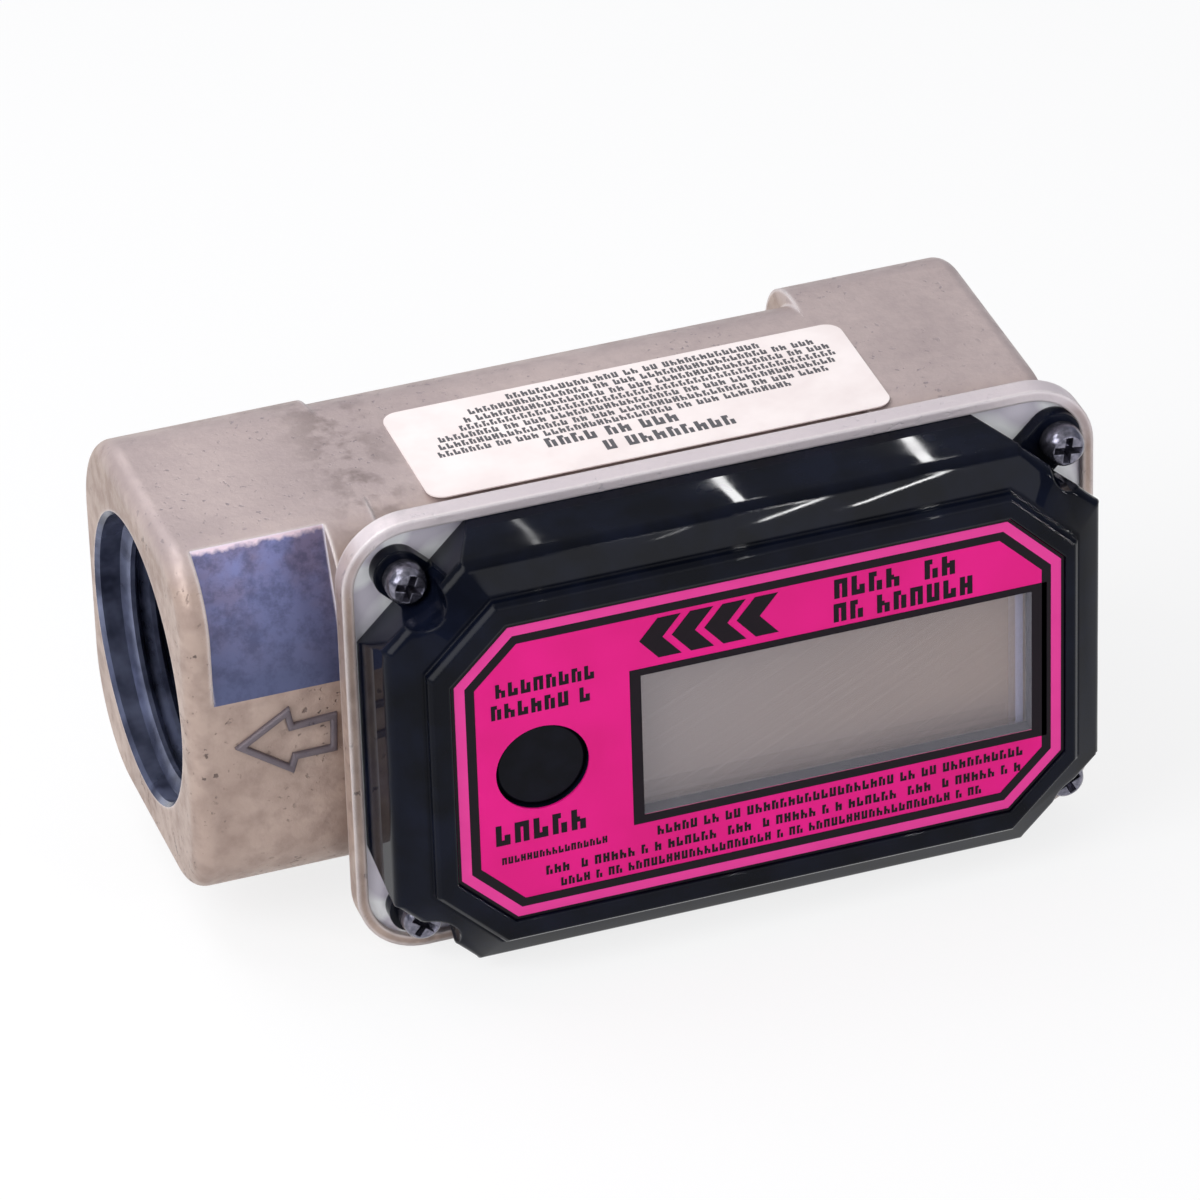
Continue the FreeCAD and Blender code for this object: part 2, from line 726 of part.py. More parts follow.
def make_pickup_bobbin():
    body = new_body("pickup_bobbin")
    sketch = new_sketch(body, "bobbin_outline", "XY")
    draw_polygon(sketch, [
        ("bobbin_bore_radius", "-well_floor"), ("bobbin_flange", "-well_floor"),
        ("bobbin_flange", "-well_floor - bobbin_cheek"),
        ("bobbin_tube_radius", "-well_floor - bobbin_cheek"),
        ("bobbin_tube_radius", "-bobbin_front + bobbin_cheek"),
        ("bobbin_flange", "-bobbin_front + bobbin_cheek"),
        ("bobbin_flange", "-bobbin_front"), ("bobbin_bore_radius", "-bobbin_front")])
    revolve("Revolution", body, "bobbin", sketch, "V_Axis")


def make_pickup_coil():
    body = new_body("pickup_coil")
    sketch = new_sketch(body, "coil_outline", "XY")
    draw_box(sketch, "bobbin_tube_radius", "coil_radius", "-bobbin_front + bobbin_cheek",
             "-well_floor - bobbin_cheek")
    revolve("Revolution", body, "coil", sketch, "V_Axis")


def make_pickup_core():
    body = new_body("pickup_core")
    sketch = new_sketch(body, "core_outline", "XZ", "well_floor")
    draw_circle(sketch, "0", "0", "bobbin_bore_radius - core_gap")
    extrude("Pad", body, "core", sketch, "core_front - well_floor")


def make_pickup_pins():
    places = {"left": "-pin_spacing / 2 - pin_radius", "right": "pin_spacing / 2 + pin_radius"}
    pins = [solid_cylinder("pin_" + name, "pin_radius", "board_back - bobbin_front",
                           (across, "-bobbin_front", "0"), FRONT)
            for name, across in places.items()]
    group("pickup_pins", pins)


# ---- display cover ------------------------------------------------------------------------------

def label_outline(body, name, offset, margin):
    """The printed overlay's outline, spread by a margin."""
    sketch = new_sketch(body, name, "XZ", offset)
    draw_cut_box(sketch, "label_shift - label_width / 2 - %s" % margin,
                 "label_shift + label_width / 2 + %s" % margin,
                 "label_margin - cover_height / 2 - %s" % margin,
                 "cover_height / 2 - label_margin + %s" % margin, "label_corner")
    return sketch


def draw_window(sketch, margin):
    """The display opening, spread by a margin."""
    draw_box(sketch, "window_shift - window_width / 2 - %s" % margin,
             "window_shift + window_width / 2 + %s" % margin,
             "window_margin - cover_height / 2 - %s" % margin,
             "cover_height / 2 - window_margin + %s" % margin)


def make_display_cover():
    body = new_body("display_cover")
    seat = "flange_front - lip_height"
    wall = [cover_outline(body, "cover_base", seat, "0"),
            cover_outline(body, "cover_shoulder_outline", "cover_shoulder", "cover_draft", "shoulder_corner"),
            cover_outline(body, "cover_bezel_outline", "bezel_base", "bezel_inset", "bezel_corner")]
    loft(body, "cover_shell", wall)
    shoulder = value("-cover_shoulder")
    trim_edges("Fillet", body, "shoulder_rounding", lies_at("y", shoulder), "shoulder_round")
    bezel = cover_outline(body, "bezel_outline", "bezel_base", "(bezel_inset + bezel_step)", "bezel_corner")
    extrude("Pad", body, "bezel", bezel, "bezel_front - bezel_base")
    front = value("-bezel_front")
    trim_edges("Chamfer", body, "bezel_rim", lies_at("y", front), "bezel_step")
    label = label_outline(body, "label_recess_outline", "bezel_front", "label_gap")
    extrude("Pocket", body, "label_recess", label, "bezel_front - label_seat")
    inner = cover_outline(body, "inner_outline", seat, "cover_inner_inset")
    extrude("Pocket", body, "inner_space", inner, "cover_inner_front - flange_front + lip_height", True)
    opening = new_sketch(body, "window_opening_outline", "XZ", "label_seat")
    draw_window(opening, "window_gap")
    extrude("Pocket", body, "window_opening", opening, "label_seat - cover_inner_front")
    hole = new_sketch(body, "button_hole_outline", "XZ", "label_seat")
    draw_circle(hole, "-button_left", "0", "button_radius + button_gap")
    extrude("Pocket", body, "button_hole", hole, "label_seat - cover_inner_front")
    ears = new_sketch(body, "screw_ear_outline", "XZ", seat)
    necks = new_sketch(body, "ear_neck_outline", "XZ", seat)
    scallops = new_sketch(body, "scallop_outline", "XZ", "bezel_front")
    ear_holes = new_sketch(body, "ear_hole_outline", "XZ", "screw_ledge")
    for across, up in corner_places("screw"):
        draw_circle(ears, across, up, "screw_ear_radius")
        draw_ear_neck(necks, across, up)
        draw_circle(scallops, across, up, "screw_scallop")
        draw_circle(ear_holes, across, up, "screw_radius + screw_hole_gap")
    extrude("Pad", body, "ear_necks", necks, "screw_ledge - flange_front + lip_height")
    extrude("Pad", body, "screw_ears", ears, "screw_ledge - flange_front + lip_height")
    extrude("Pocket", body, "screw_scallops", scallops, "bezel_front - screw_ledge")
    extrude("Pocket", body, "ear_holes", ear_holes, "screw_ledge - flange_front + lip_height")
    board_front = "board_back + board_thickness"
    posts = new_sketch(body, "board_post_outline", "XZ", board_front)
    pilots = new_sketch(body, "board_pilot_outline", "XZ", board_front)
    for across, up in corner_places("board"):
        draw_circle(posts, across, up, "board_post_radius")
        draw_circle(pilots, across, up, "board_screw_radius + press_gap")
    extrude("Pad", body, "board_posts", posts, "cover_inner_front - board_back - board_thickness")
    extrude("Pocket", body, "board_pilots", pilots, "board_screw_length - board_thickness", True)


def make_cover_gasket():
    body = new_body("cover_gasket")
    sketch = new_sketch(body, "gasket_outline", "XZ", "flange_front - lip_height - gasket_depth")
    draw_cover_outline(sketch, "(gasket_inset + press_gap)")
    draw_cover_outline(sketch, "(gasket_inset + gasket_width - press_gap)")
    extrude("Pad", body, "gasket", sketch, "gasket_depth")


def make_face_overlay():
    body = new_body("face_overlay")
    sketch = label_outline(body, "overlay_outline", "label_seat", "0")
    draw_window(sketch, "window_gap")
    draw_circle(sketch, "-button_left", "0", "button_radius + button_gap")
    extrude("Pad", body, "overlay", sketch, "label_thickness")


def make_display_window():
    body = new_body("display_window")
    pane = new_sketch(body, "pane_outline", "XZ", "cover_inner_front")
    draw_window(pane, "0")
    extrude("Pad", body, "pane", pane, "label_seat + label_thickness - cover_inner_front")
    step = new_sketch(body, "pane_step_outline", "XZ", "cover_inner_front")
    draw_window(step, "window_step")
    extrude("Pad", body, "pane_step", step, "cover_inner_front - panel_back - panel_thickness", True)


def make_cover_screws():
    screws = []
    for n, (across, up) in enumerate(corner_places("screw")):
        head = solid_cylinder("screw_head_%d" % n, "screw_head_radius", "screw_head_height",
                              (across, "-screw_ledge", up), FRONT)
        shank = solid_cylinder("screw_shank_%d" % n, "screw_radius", "screw_ledge - screw_end",
                               (across, "-screw_ledge", up), BACK)
        screws.append(fused("cover_screw_%d" % n, [head, shank]))
    group("cover_screws", screws)


# ---- button -------------------------------------------------------------------------------------

def make_button_cap():
    body = new_body("button_cap")
    stem = new_sketch(body, "stem_outline", "XZ", "stem_back")
    draw_circle(stem, "-button_left", "0", "stem_radius")
    extrude("Pad", body, "stem", stem, "button_flange_back - stem_back")
    flange = new_sketch(body, "button_flange_outline", "XZ", "button_flange_back")
    draw_circle(flange, "-button_left", "0", "button_flange")
    extrude("Pad", body, "button_flange_disc", flange,
            "cover_inner_front - button_flange_gap - button_flange_back")
    cap = new_sketch(body, "cap_outline", "XZ", "button_flange_back")
    draw_circle(cap, "-button_left", "0", "button_radius")
    extrude("Pad", body, "cap", cap, "button_front - button_flange_back")
    front = value("-button_front")
    trim_edges("Chamfer", body, "cap_rim", lies_at("y", front), "button_chamfer")


def make_switch_plunger():
    body = new_body("switch_plunger")
    sketch = new_sketch(body, "plunger_outline", "XZ", "plunger_back")
    draw_circle(sketch, "-button_left", "0", "plunger_radius")
    extrude("Pad", body, "plunger", sketch, "stem_back - plunger_back")


def make_button_switch():
    body = new_body("button_switch")
    case = new_sketch(body, "switch_outline", "XZ", "board_back + board_thickness")
    draw_box(case, "-button_left - switch_size / 2", "-button_left + switch_size / 2",
             "-switch_size / 2", "switch_size / 2")
    extrude("Pad", body, "switch_case", case, "switch_front - board_back - board_thickness")
    hole = new_sketch(body, "switch_hole_outline", "XZ", "switch_front")
    draw_circle(hole, "-button_left", "0", "plunger_radius + plunger_gap")
    extrude("Pocket", body, "switch_hole", hole,
            "switch_front - plunger_back + button_travel + plunger_end_gap")


# ---- circuit board ------------------------------------------------------------------------------

def make_circuit_board():
    body = new_body("circuit_board")
    sketch = new_sketch(body, "board_outline", "XZ", "board_back")
    draw_cover_outline(sketch, "(cover_inner_inset + board_clearance)")
    for across, up in corner_places("board"):
        draw_circle(sketch, across, up, "board_screw_radius + running_gap")
    extrude("Pad", body, "board", sketch, "board_thickness")


def make_board_screws():
    screws = []
    for n, (across, up) in enumerate(corner_places("board")):
        head = solid_cylinder("board_screw_head_%d" % n, "board_head_radius", "board_head_height",
                              (across, "-board_back", up), BACK)
        shank = solid_cylinder("board_screw_shank_%d" % n, "board_screw_radius", "board_screw_length",
                               (across, "-board_back", up), FRONT)
        screws.append(fused("board_screw_%d" % n, [head, shank]))
    group("board_screws", screws)


def make_lcd_panel():
    body = new_body("lcd_panel")
    sketch = new_sketch(body, "panel_outline", "XZ", "panel_back")
    draw_box(sketch, "window_shift - panel_width / 2", "window_shift + panel_width / 2",
             "panel_margin - cover_height / 2", "cover_height / 2 - panel_margin")
    extrude("Pad", body, "panel", sketch, "panel_thickness")


def make_lcd_holder():
    """A frame round the panel, from the board to the cover."""
    body = new_body("lcd_holder")
    sketch = new_sketch(body, "holder_outline", "XZ", "board_back + board_thickness")
    for margin in ("(holder_gap + holder_wall)", "holder_gap"):
        draw_box(sketch, "window_shift - panel_width / 2 - %s" % margin,
                 "window_shift + panel_width / 2 + %s" % margin,
                 "panel_margin - cover_height / 2 - %s" % margin,
                 "cover_height / 2 - panel_margin + %s" % margin)
    extrude("Pad", body, "holder", sketch, "cover_inner_front - board_back - board_thickness")
    rim = new_sketch(body, "holder_rim_outline", "XZ", "board_back + board_thickness")
    for margin in ("holder_gap", "(0 - holder_rim)"):
        draw_box(rim, "window_shift - panel_width / 2 - %s" % margin,
                 "window_shift + panel_width / 2 + %s" % margin,
                 "panel_margin - cover_height / 2 - %s" % margin,
                 "cover_height / 2 - panel_margin + %s" % margin)
    extrude("Pad", body, "holder_rim_shelf", rim, "panel_back - board_back - board_thickness")


def make_lcd_connector_strips():
    outer = "cover_height / 2 - panel_margin - holder_rim - strip_inset"
    strips = []
    for name, low, high in (("upper", outer + " - strip_width", outer),
                            ("lower", "-(%s)" % outer, "-(%s - strip_width)" % outer)):
        strips.append(solid_box("strip_" + name,
                                ("window_shift - strip_length / 2", "-panel_back", low),
                                ("window_shift + strip_length / 2", "-board_back - board_thickness", high)))
    group("lcd_connector_strips", strips)


def make_microcontroller():
    body = new_body("microcontroller")
    sketch = new_sketch(body, "chip_outline", "XZ", "board_back + board_thickness")
    draw_box(sketch, "window_shift - chip_side / 2", "window_shift + chip_side / 2", "-chip_side / 2",
             "chip_side / 2")
    extrude("Pad", body, "chip", sketch, "chip_height")


def make_timing_crystal():
    body = new_body("timing_crystal")
    sketch = new_sketch(body, "crystal_outline", "YZ", "part_left")
    draw_circle(sketch, "-board_back + crystal_radius", "-crystal_drop - part_spacing", "crystal_radius")
    extrude("Pad", body, "crystal", sketch, "crystal_length")


def make_board_components():
    blocks = []
    for n in range(3):
        low = "%d * part_spacing - part_width / 2" % (n - 1)
        corner = ("part_left", "-board_back", low)
        opposite = ("part_left + part_length", "-board_back + part_height", low + " + part_width")
        blocks.append(solid_box("component_%d" % n, corner, opposite))
    group("board_components", blocks)


# ---- batteries ----------------------------------------------------------------------------------

def make_battery_cells():
    cells = []
    for name, side in (("upper", "cell_half_spacing"), ("lower", "-cell_half_spacing")):
        start = "-(cell_length + cell_nub_length) / 2"
        can = solid_cylinder("can_" + name, "cell_radius", "cell_length", (start, "-cell_axis", side), ALONG)
        nub = solid_cylinder("nub_" + name, "cell_nub_radius", "cell_nub_length",
                             (start + " + cell_length", "-cell_axis", side), ALONG)
        cells.append(fused("cell_" + name, [can, nub]))
    group("battery_cells", cells)


def make_battery_contacts():
    plates = []
    inner = "(cell_length + cell_nub_length) / 2"
    ends = [("-%s - contact_thickness" % inner, "-" + inner), (inner, inner + " + contact_thickness")]
    for low, high in ends:
        for middle in ("-cell_half_spacing", "cell_half_spacing"):
            corner = (low, "-board_back", middle + " - contact_width / 2")
            opposite = (high, "-contact_back", middle + " + contact_width / 2")
            plates.append(solid_box("contact_%d" % len(plates), corner, opposite))
    group("battery_contacts", plates)


def make_top_label():
    body = new_body("top_label")
    sketch = new_sketch(body, "plate_outline", "XY", "body_height / 2")
    draw_round_box(sketch, "-plate_left", "plate_right", "-plate_front", "plate_back", ["plate_round"] * 4)
    extrude("Pad", body, "plate", sketch, "plate_thickness")


make_meter_body()
make_support("inlet_support", False)
make_support("outlet_support", True)
make_retaining_ring("inlet_retaining_ring", False)
make_retaining_ring("outlet_retaining_ring", True)
make_rotor()
make_rotor_magnets()
make_bearing("inlet_bearing", False)
make_bearing("outlet_bearing", True)
make_washer("inlet_thrust_washer", False)
make_washer("outlet_thrust_washer", True)
make_rotor_shaft()
make_pickup_bobbin()
make_pickup_coil()
make_pickup_core()
make_pickup_pins()
make_cover_gasket()
make_display_cover()
make_face_overlay()
make_display_window()
make_cover_screws()
make_button_cap()
make_switch_plunger()
make_button_switch()
make_circuit_board()
make_board_screws()
make_lcd_panel()
make_lcd_holder()
make_lcd_connector_strips()
make_microcontroller()
make_timing_crystal()
make_board_components()
make_battery_cells()
make_battery_contacts()
make_top_label()
doc.recompute()

# ---- test and export ----------------------------------------------------------------------------

for item in doc.Objects:
    if "Invalid" in item.State or "Error" in item.State:
        raise RuntimeError("%s failed: %s" % (item.Label, item.State))
for item in doc.Objects:
    if item.TypeId == "PartDesign::Body" or item.TypeId == "Part::Compound":
        if item.Shape.isNull() or not item.Shape.isValid():
            raise RuntimeError("%s has no valid shape" % item.Label)
        item.Shape.exportStep("parts/%s.step" % item.Label)
        print("%-24s %2d solid(s) %10.2f mm3" % (item.Label, len(item.Shape.Solids), item.Shape.Volume))
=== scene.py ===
import math

import bmesh
import bpy
from mathutils import Matrix, Vector


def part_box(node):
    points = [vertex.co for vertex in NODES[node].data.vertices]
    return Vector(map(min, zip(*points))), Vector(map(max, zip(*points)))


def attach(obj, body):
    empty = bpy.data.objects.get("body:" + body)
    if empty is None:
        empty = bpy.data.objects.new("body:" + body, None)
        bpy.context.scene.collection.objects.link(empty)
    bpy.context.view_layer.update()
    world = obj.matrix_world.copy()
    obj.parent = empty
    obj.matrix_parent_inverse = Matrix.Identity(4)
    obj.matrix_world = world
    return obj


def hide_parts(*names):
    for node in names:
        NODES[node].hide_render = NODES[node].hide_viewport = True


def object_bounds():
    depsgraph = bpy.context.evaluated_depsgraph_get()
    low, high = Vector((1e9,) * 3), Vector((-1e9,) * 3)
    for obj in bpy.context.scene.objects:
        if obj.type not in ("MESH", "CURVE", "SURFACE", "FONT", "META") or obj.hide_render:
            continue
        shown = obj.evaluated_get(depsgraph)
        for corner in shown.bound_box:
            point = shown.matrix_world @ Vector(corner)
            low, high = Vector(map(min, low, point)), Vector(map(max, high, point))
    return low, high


# The turbine flow meter's looks: the finish of every part, the port threads, the flow arrow, the
# prints and the cover screws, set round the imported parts.  Places come from the parts' own boxes.
# X runs along the pipe, the display faces -Y and Z is up.

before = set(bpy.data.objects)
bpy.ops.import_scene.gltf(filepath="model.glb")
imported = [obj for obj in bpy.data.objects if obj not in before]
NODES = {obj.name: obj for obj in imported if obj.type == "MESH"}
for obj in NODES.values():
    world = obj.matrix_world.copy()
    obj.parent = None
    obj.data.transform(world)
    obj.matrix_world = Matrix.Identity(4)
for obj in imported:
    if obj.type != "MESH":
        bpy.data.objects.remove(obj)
cad_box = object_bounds()

MM = 0.001

# ---- places taken from the meter's own parts ----------------------------------------------------

BODY_LOW, BODY_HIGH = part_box("meter_body")
COVER_LOW, COVER_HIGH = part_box("display_cover")
OVERLAY_LOW, OVERLAY_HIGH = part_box("face_overlay")
WINDOW_LOW, WINDOW_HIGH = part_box("display_window")
SCREWS_LOW, SCREWS_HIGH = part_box("cover_screws")
LABEL_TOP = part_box("top_label")[1].z
MID_LENGTH = (BODY_LOW.x + BODY_HIGH.x) / 2
SEAT_Y = COVER_HIGH.y
FACE_Y = OVERLAY_LOW.y
BARREL_TOP = BODY_HIGH.z - 6.0 * MM
PRINT_GAP = 0.005 * MM
SCREW_SEAT_RADIUS = 2.8 * MM
SCREW_HEAD_RADIUS = 2.4 * MM
SCREW_HEAD_HEIGHT = 2.8 * MM
SCREW_SHANK_RADIUS = 1.3 * MM
SCREW_LEAN = 0.35 * MM
SCREW_MIDDLE_X = (SCREWS_LOW.x + SCREWS_HIGH.x) / 2
SCREW_HALF_X = (SCREWS_HIGH.x - SCREWS_LOW.x) / 2 - SCREW_SEAT_RADIUS
SCREW_HALF_Z = (SCREWS_HIGH.z - SCREWS_LOW.z) / 2 - SCREW_SEAT_RADIUS
BORE_RADIUS = 17.2 * MM
FLAT_FACING = Vector((0, -0.932, 0.362))


# ---- node materials -----------------------------------------------------------------------------

class Finish:
    """One surface finish, made of nodes that read the piece's own coordinates."""

    def __init__(self, name, rough=0.5, metal=0.0, gloss=0.5):
        self.material = bpy.data.materials.new(name)
        self.material.use_nodes = True
        self.nodes = self.material.node_tree.nodes
        self.links = self.material.node_tree.links
        self.nodes.clear()
        self.shader = self.nodes.new("ShaderNodeBsdfPrincipled")
        self.shader.inputs["Roughness"].default_value = rough
        self.shader.inputs["Metallic"].default_value = metal
        self.shader.inputs["Specular IOR Level"].default_value = gloss
        output = self.nodes.new("ShaderNodeOutputMaterial")
        self.links.new(self.shader.outputs["BSDF"], output.inputs["Surface"])
        self.place = self.nodes.new("ShaderNodeTexCoord").outputs["Object"]

    def feed(self, socket, source):
        """Puts a number, a colour or another node's output into a socket."""
        if isinstance(source, bpy.types.NodeSocket):
            self.links.new(source, socket)
        else:
            socket.default_value = source

    def moved(self, centre=(0, 0, 0), stretch=(1, 1, 1)):
        """The piece's coordinates centred on a spot and stretched."""
        shift = self.nodes.new("ShaderNodeVectorMath")
        shift.operation = "SUBTRACT"
        self.feed(shift.inputs[0], self.place)
        shift.inputs[1].default_value = centre
        mapping = self.nodes.new("ShaderNodeMapping")
        self.feed(mapping.inputs["Vector"], shift.outputs[0])
        mapping.inputs["Scale"].default_value = stretch
        return mapping.outputs["Vector"]

    def noise(self, size, detail=3.0, rough=0.55, vector=None):
        """Cloudy noise whose spots are about one size across."""
        node = self.nodes.new("ShaderNodeTexNoise")
        self.feed(node.inputs["Vector"], vector or self.place)
        node.inputs["Scale"].default_value = 1 / size
        node.inputs["Detail"].default_value = detail
        node.inputs["Roughness"].default_value = rough
        return node.outputs["Fac"]

    def cells(self, size):
        """Distance to the nearest of scattered points."""
        node = self.nodes.new("ShaderNodeTexVoronoi")
        self.feed(node.inputs["Vector"], self.place)
        node.inputs["Scale"].default_value = 1 / size
        return node.outputs["Distance"]

    def ramp(self, source, low, high, start=0.0, end=1.0):
        """Maps a span of a pattern to a span of values, held at both ends."""
        node = self.nodes.new("ShaderNodeMapRange")
        self.feed(node.inputs["Value"], source)
        node.inputs["From Min"].default_value = low
        node.inputs["From Max"].default_value = high
        node.inputs["To Min"].default_value = start
        node.inputs["To Max"].default_value = end
        return node.outputs["Result"]

    def math(self, kind, first, second=0.0):
        """One sum over two values."""
        node = self.nodes.new("ShaderNodeMath")
        node.operation = kind
        self.feed(node.inputs[0], first)
        self.feed(node.inputs[1], second)
        return node.outputs[0]

    def mix(self, share, first, second):
        """A blend of two colours."""
        node = self.nodes.new("ShaderNodeMix")
        node.data_type = "RGBA"
        self.feed(node.inputs["Factor"], share)
        self.feed(node.inputs["A"], first)
        self.feed(node.inputs["B"], second)
        return node.outputs["Result"]

    def split(self, vector):
        """The three parts of a place."""
        node = self.nodes.new("ShaderNodeSeparateXYZ")
        self.feed(node.inputs[0], vector)
        return node.outputs["X"], node.outputs["Y"], node.outputs["Z"]

    def soft_edges(self, radius):
        """A normal that rounds the edges off by a radius."""
        node = self.nodes.new("ShaderNodeBevel")
        node.samples = 6
        node.inputs["Radius"].default_value = radius
        return node.outputs["Normal"]

    def edge_mask(self, width):
        """1 along the edges of the piece and 0 on its faces."""
        plain = self.nodes.new("ShaderNodeNewGeometry").outputs["Normal"]
        match = self.nodes.new("ShaderNodeVectorMath")
        match.operation = "DOT_PRODUCT"
        self.feed(match.inputs[0], plain)
        self.feed(match.inputs[1], self.soft_edges(width))
        return self.ramp(match.outputs["Value"], 0.985, 0.9)

    def bump(self, height, depth, normal=None, strength=1.0):
        """Relief of a depth in metres."""
        node = self.nodes.new("ShaderNodeBump")
        node.inputs["Distance"].default_value = depth
        node.inputs["Strength"].default_value = strength
        self.feed(node.inputs["Height"], height)
        if normal:
            self.feed(node.inputs["Normal"], normal)
        return node.outputs["Normal"]

    def use(self, colour=None, rough=None, normal=None):
        """Plugs colour, roughness and normal into the shader."""
        for name, source in (("Base Color", colour), ("Roughness", rough), ("Normal", normal)):
            if source is not None:
                self.feed(self.shader.inputs[name], source)
        return self.material


def shade(red, green, blue):
    """A colour given as it shows, 0 to 255, turned into light values."""

    def straight(part):
        part /= 255
        return part / 12.92 if part <= 0.04045 else ((part + 0.055) / 1.055) ** 2.4

    return (straight(red), straight(green), straight(blue), 1.0)


def cast_aluminium(name="cast_aluminium", shade_and_grime=0.0):
    """Die-cast skin: warm clouds, dark pits and specks, a painted cool sheen on top, painted shade with some
    grime at the neck, a painted highlight on the lip, and light edges that are partly wear and partly painted
    highlight.
    """
    finish = Finish(name, metal=0.3)
    clouds = finish.ramp(finish.noise(14 * MM, 4), 0.35, 0.65)
    tone = finish.mix(clouds, shade(184, 163, 151), shade(155, 134, 123))
    mottle = finish.ramp(finish.noise(2.2 * MM, 4), 0.42, 0.7)
    tone = finish.mix(finish.math("MULTIPLY", mottle, 0.45), tone, shade(134, 114, 106))
    patches = finish.ramp(finish.noise(9 * MM, 2), 0.42, 0.62)
    specks = finish.ramp(finish.noise(0.9 * MM, 2), 0.63, 0.69)
    specks = finish.math("MULTIPLY", specks, patches)
    tone = finish.mix(finish.math("MULTIPLY", specks, 0.8), tone, shade(78, 64, 60))
    along, depth, up = finish.split(finish.place)
    # painted sheen: the top of the barrel is made lighter and cooler, as if it mirrored the pale sky
    painted_top_sheen = finish.ramp(up, BARREL_TOP - 3 * MM, BARREL_TOP)
    tone = finish.mix(finish.math("MULTIPLY", painted_top_sheen, 0.42), tone, shade(198, 186, 192))
    # painted shade with some grime: the skin is darkened in patches along the crease at the neck of the
    # outlet boss
    neck = finish.math("ABSOLUTE", finish.math("SUBTRACT", along, BODY_LOW.x + 25 * MM))
    neck_mottle = finish.ramp(finish.noise(3 * MM, 3), 0.45, 0.6)
    neck_shade_and_grime = finish.math("MULTIPLY", finish.ramp(neck, 0, 7 * MM, 1, 0), neck_mottle)
    tone = finish.mix(finish.math("MULTIPLY", neck_shade_and_grime, 0.6), tone, shade(104, 90, 86))
    # painted highlight: the top of the lip's front is made nearly white
    rim = finish.math("MULTIPLY", finish.ramp(depth, SEAT_Y + 4 * MM, SEAT_Y + 2 * MM),
                      finish.ramp(up, BODY_HIGH.z - 4 * MM, BODY_HIGH.z - 2 * MM))
    tone = finish.mix(finish.math("MULTIPLY", rim, 0.55), tone, shade(232, 224, 230))
    # edges lightened partly as wear and partly as a painted highlight
    edge_wear_and_highlight = finish.edge_mask(0.9 * MM)
    tone = finish.mix(finish.math("MULTIPLY", edge_wear_and_highlight, 0.7 - 0.6 * shade_and_grime), tone, shade(236, 228, 228))
    # painted shade with some grime: a share of dark bluish grey over the whole skin, given for the raised
    # flow arrow
    tone = finish.mix(shade_and_grime, tone, shade(72, 68, 84))
    pebble = finish.noise(0.8 * MM, 4)
    relief = finish.math("SUBTRACT", pebble, specks)
    normal = finish.bump(relief, 0.12 * MM, finish.soft_edges(0.5 * MM), 0.6)
    return finish.use(tone, finish.ramp(mottle, 0, 1, 0.4, 0.58), normal)


def turned_land():
    """Spot-faced lands of turned metal, with a painted fan of highlights round each cover screw."""
    finish = Finish("turned_land", metal=0.1, rough=0.22)
    across, _, up = finish.split(finish.moved((SCREW_MIDDLE_X, 0, 0)))
    side = finish.math("SUBTRACT", finish.math("ABSOLUTE", across), SCREW_HALF_X)
    rise = finish.math("SUBTRACT", finish.math("ABSOLUTE", up), SCREW_HALF_Z)
    # painted highlight: light and dark fans round each screw stand for the sheen of the turned metal
    angle = finish.math("ARCTAN2", rise, side)
    wander = finish.math("MULTIPLY", finish.noise(5 * MM, 1), 3.0)
    painted_fan_sheen = finish.math("SINE", finish.math("ADD", finish.math("MULTIPLY", angle, 4.0), wander))
    tone = finish.mix(finish.ramp(painted_fan_sheen, -0.5, 0.5), shade(214, 208, 218), shade(255, 255, 255))
    normal = finish.bump(finish.noise(0.6 * MM, 2), 0.03 * MM, finish.soft_edges(0.3 * MM), 0.4)
    return finish.use(tone, None, normal)


def milled_flat():
    """The wrench flat: cutter marks, a brown haze, a painted bluish reflection that grows paler towards the
    top, a ragged painted reflection along its top edge, and painted highlights along its edges.
    """
    finish = Finish("milled_flat", metal=0.5, rough=0.4)
    up = finish.split(finish.place)[2]
    drop = finish.ramp(up, BARREL_TOP - 15.0 * MM, BARREL_TOP)
    # painted reflection: the flat is painted bluer and paler towards its top
    tone = finish.mix(drop, shade(84, 90, 124), shade(132, 136, 184))
    haze = finish.math("MULTIPLY", finish.ramp(finish.noise(5 * MM, 3), 0.4, 0.6), drop)
    tone = finish.mix(finish.math("MULTIPLY", haze, 0.7), tone, shade(122, 106, 126))
    grit = finish.ramp(finish.noise(2.4 * MM, 6, 0.7), 0.45, 0.62)
    tone = finish.mix(finish.math("MULTIPLY", grit, 0.5), tone, shade(58, 62, 92))
    marks = finish.noise(1.0 * MM, 3, vector=finish.moved(stretch=(1, 12, 12)))
    # painted reflection: a ragged near-white band along the top edge of the flat
    ragged = finish.math("MULTIPLY", finish.noise(1.3 * MM, 4), 1.4 * MM)
    edge = finish.ramp(finish.math("ADD", up, ragged), BARREL_TOP - 0.2 * MM, BARREL_TOP + 0.3 * MM)
    tone = finish.mix(edge, tone, shade(236, 214, 224))
    # painted highlight along the edges of the flat
    tone = finish.mix(finish.edge_mask(0.5 * MM), tone, shade(238, 232, 244))
    return finish.use(tone, None, finish.bump(marks, 0.05 * MM, finish.soft_edges(0.3 * MM), 0.4))


def bored_metal():
    """Bored and threaded aluminium: cool grey with round tool marks."""
    finish = Finish("bored_metal", metal=0.65, rough=0.2)
    marks = finish.noise(0.5 * MM, 2, vector=finish.moved(stretch=(1, 0.05, 0.05)))
    clouds = finish.ramp(finish.noise(5 * MM, 3), 0.35, 0.65)
    tone = finish.mix(clouds, shade(118, 124, 150), shade(62, 66, 86))
    return finish.use(tone, None, finish.bump(marks, 0.03 * MM, None, 0.4))


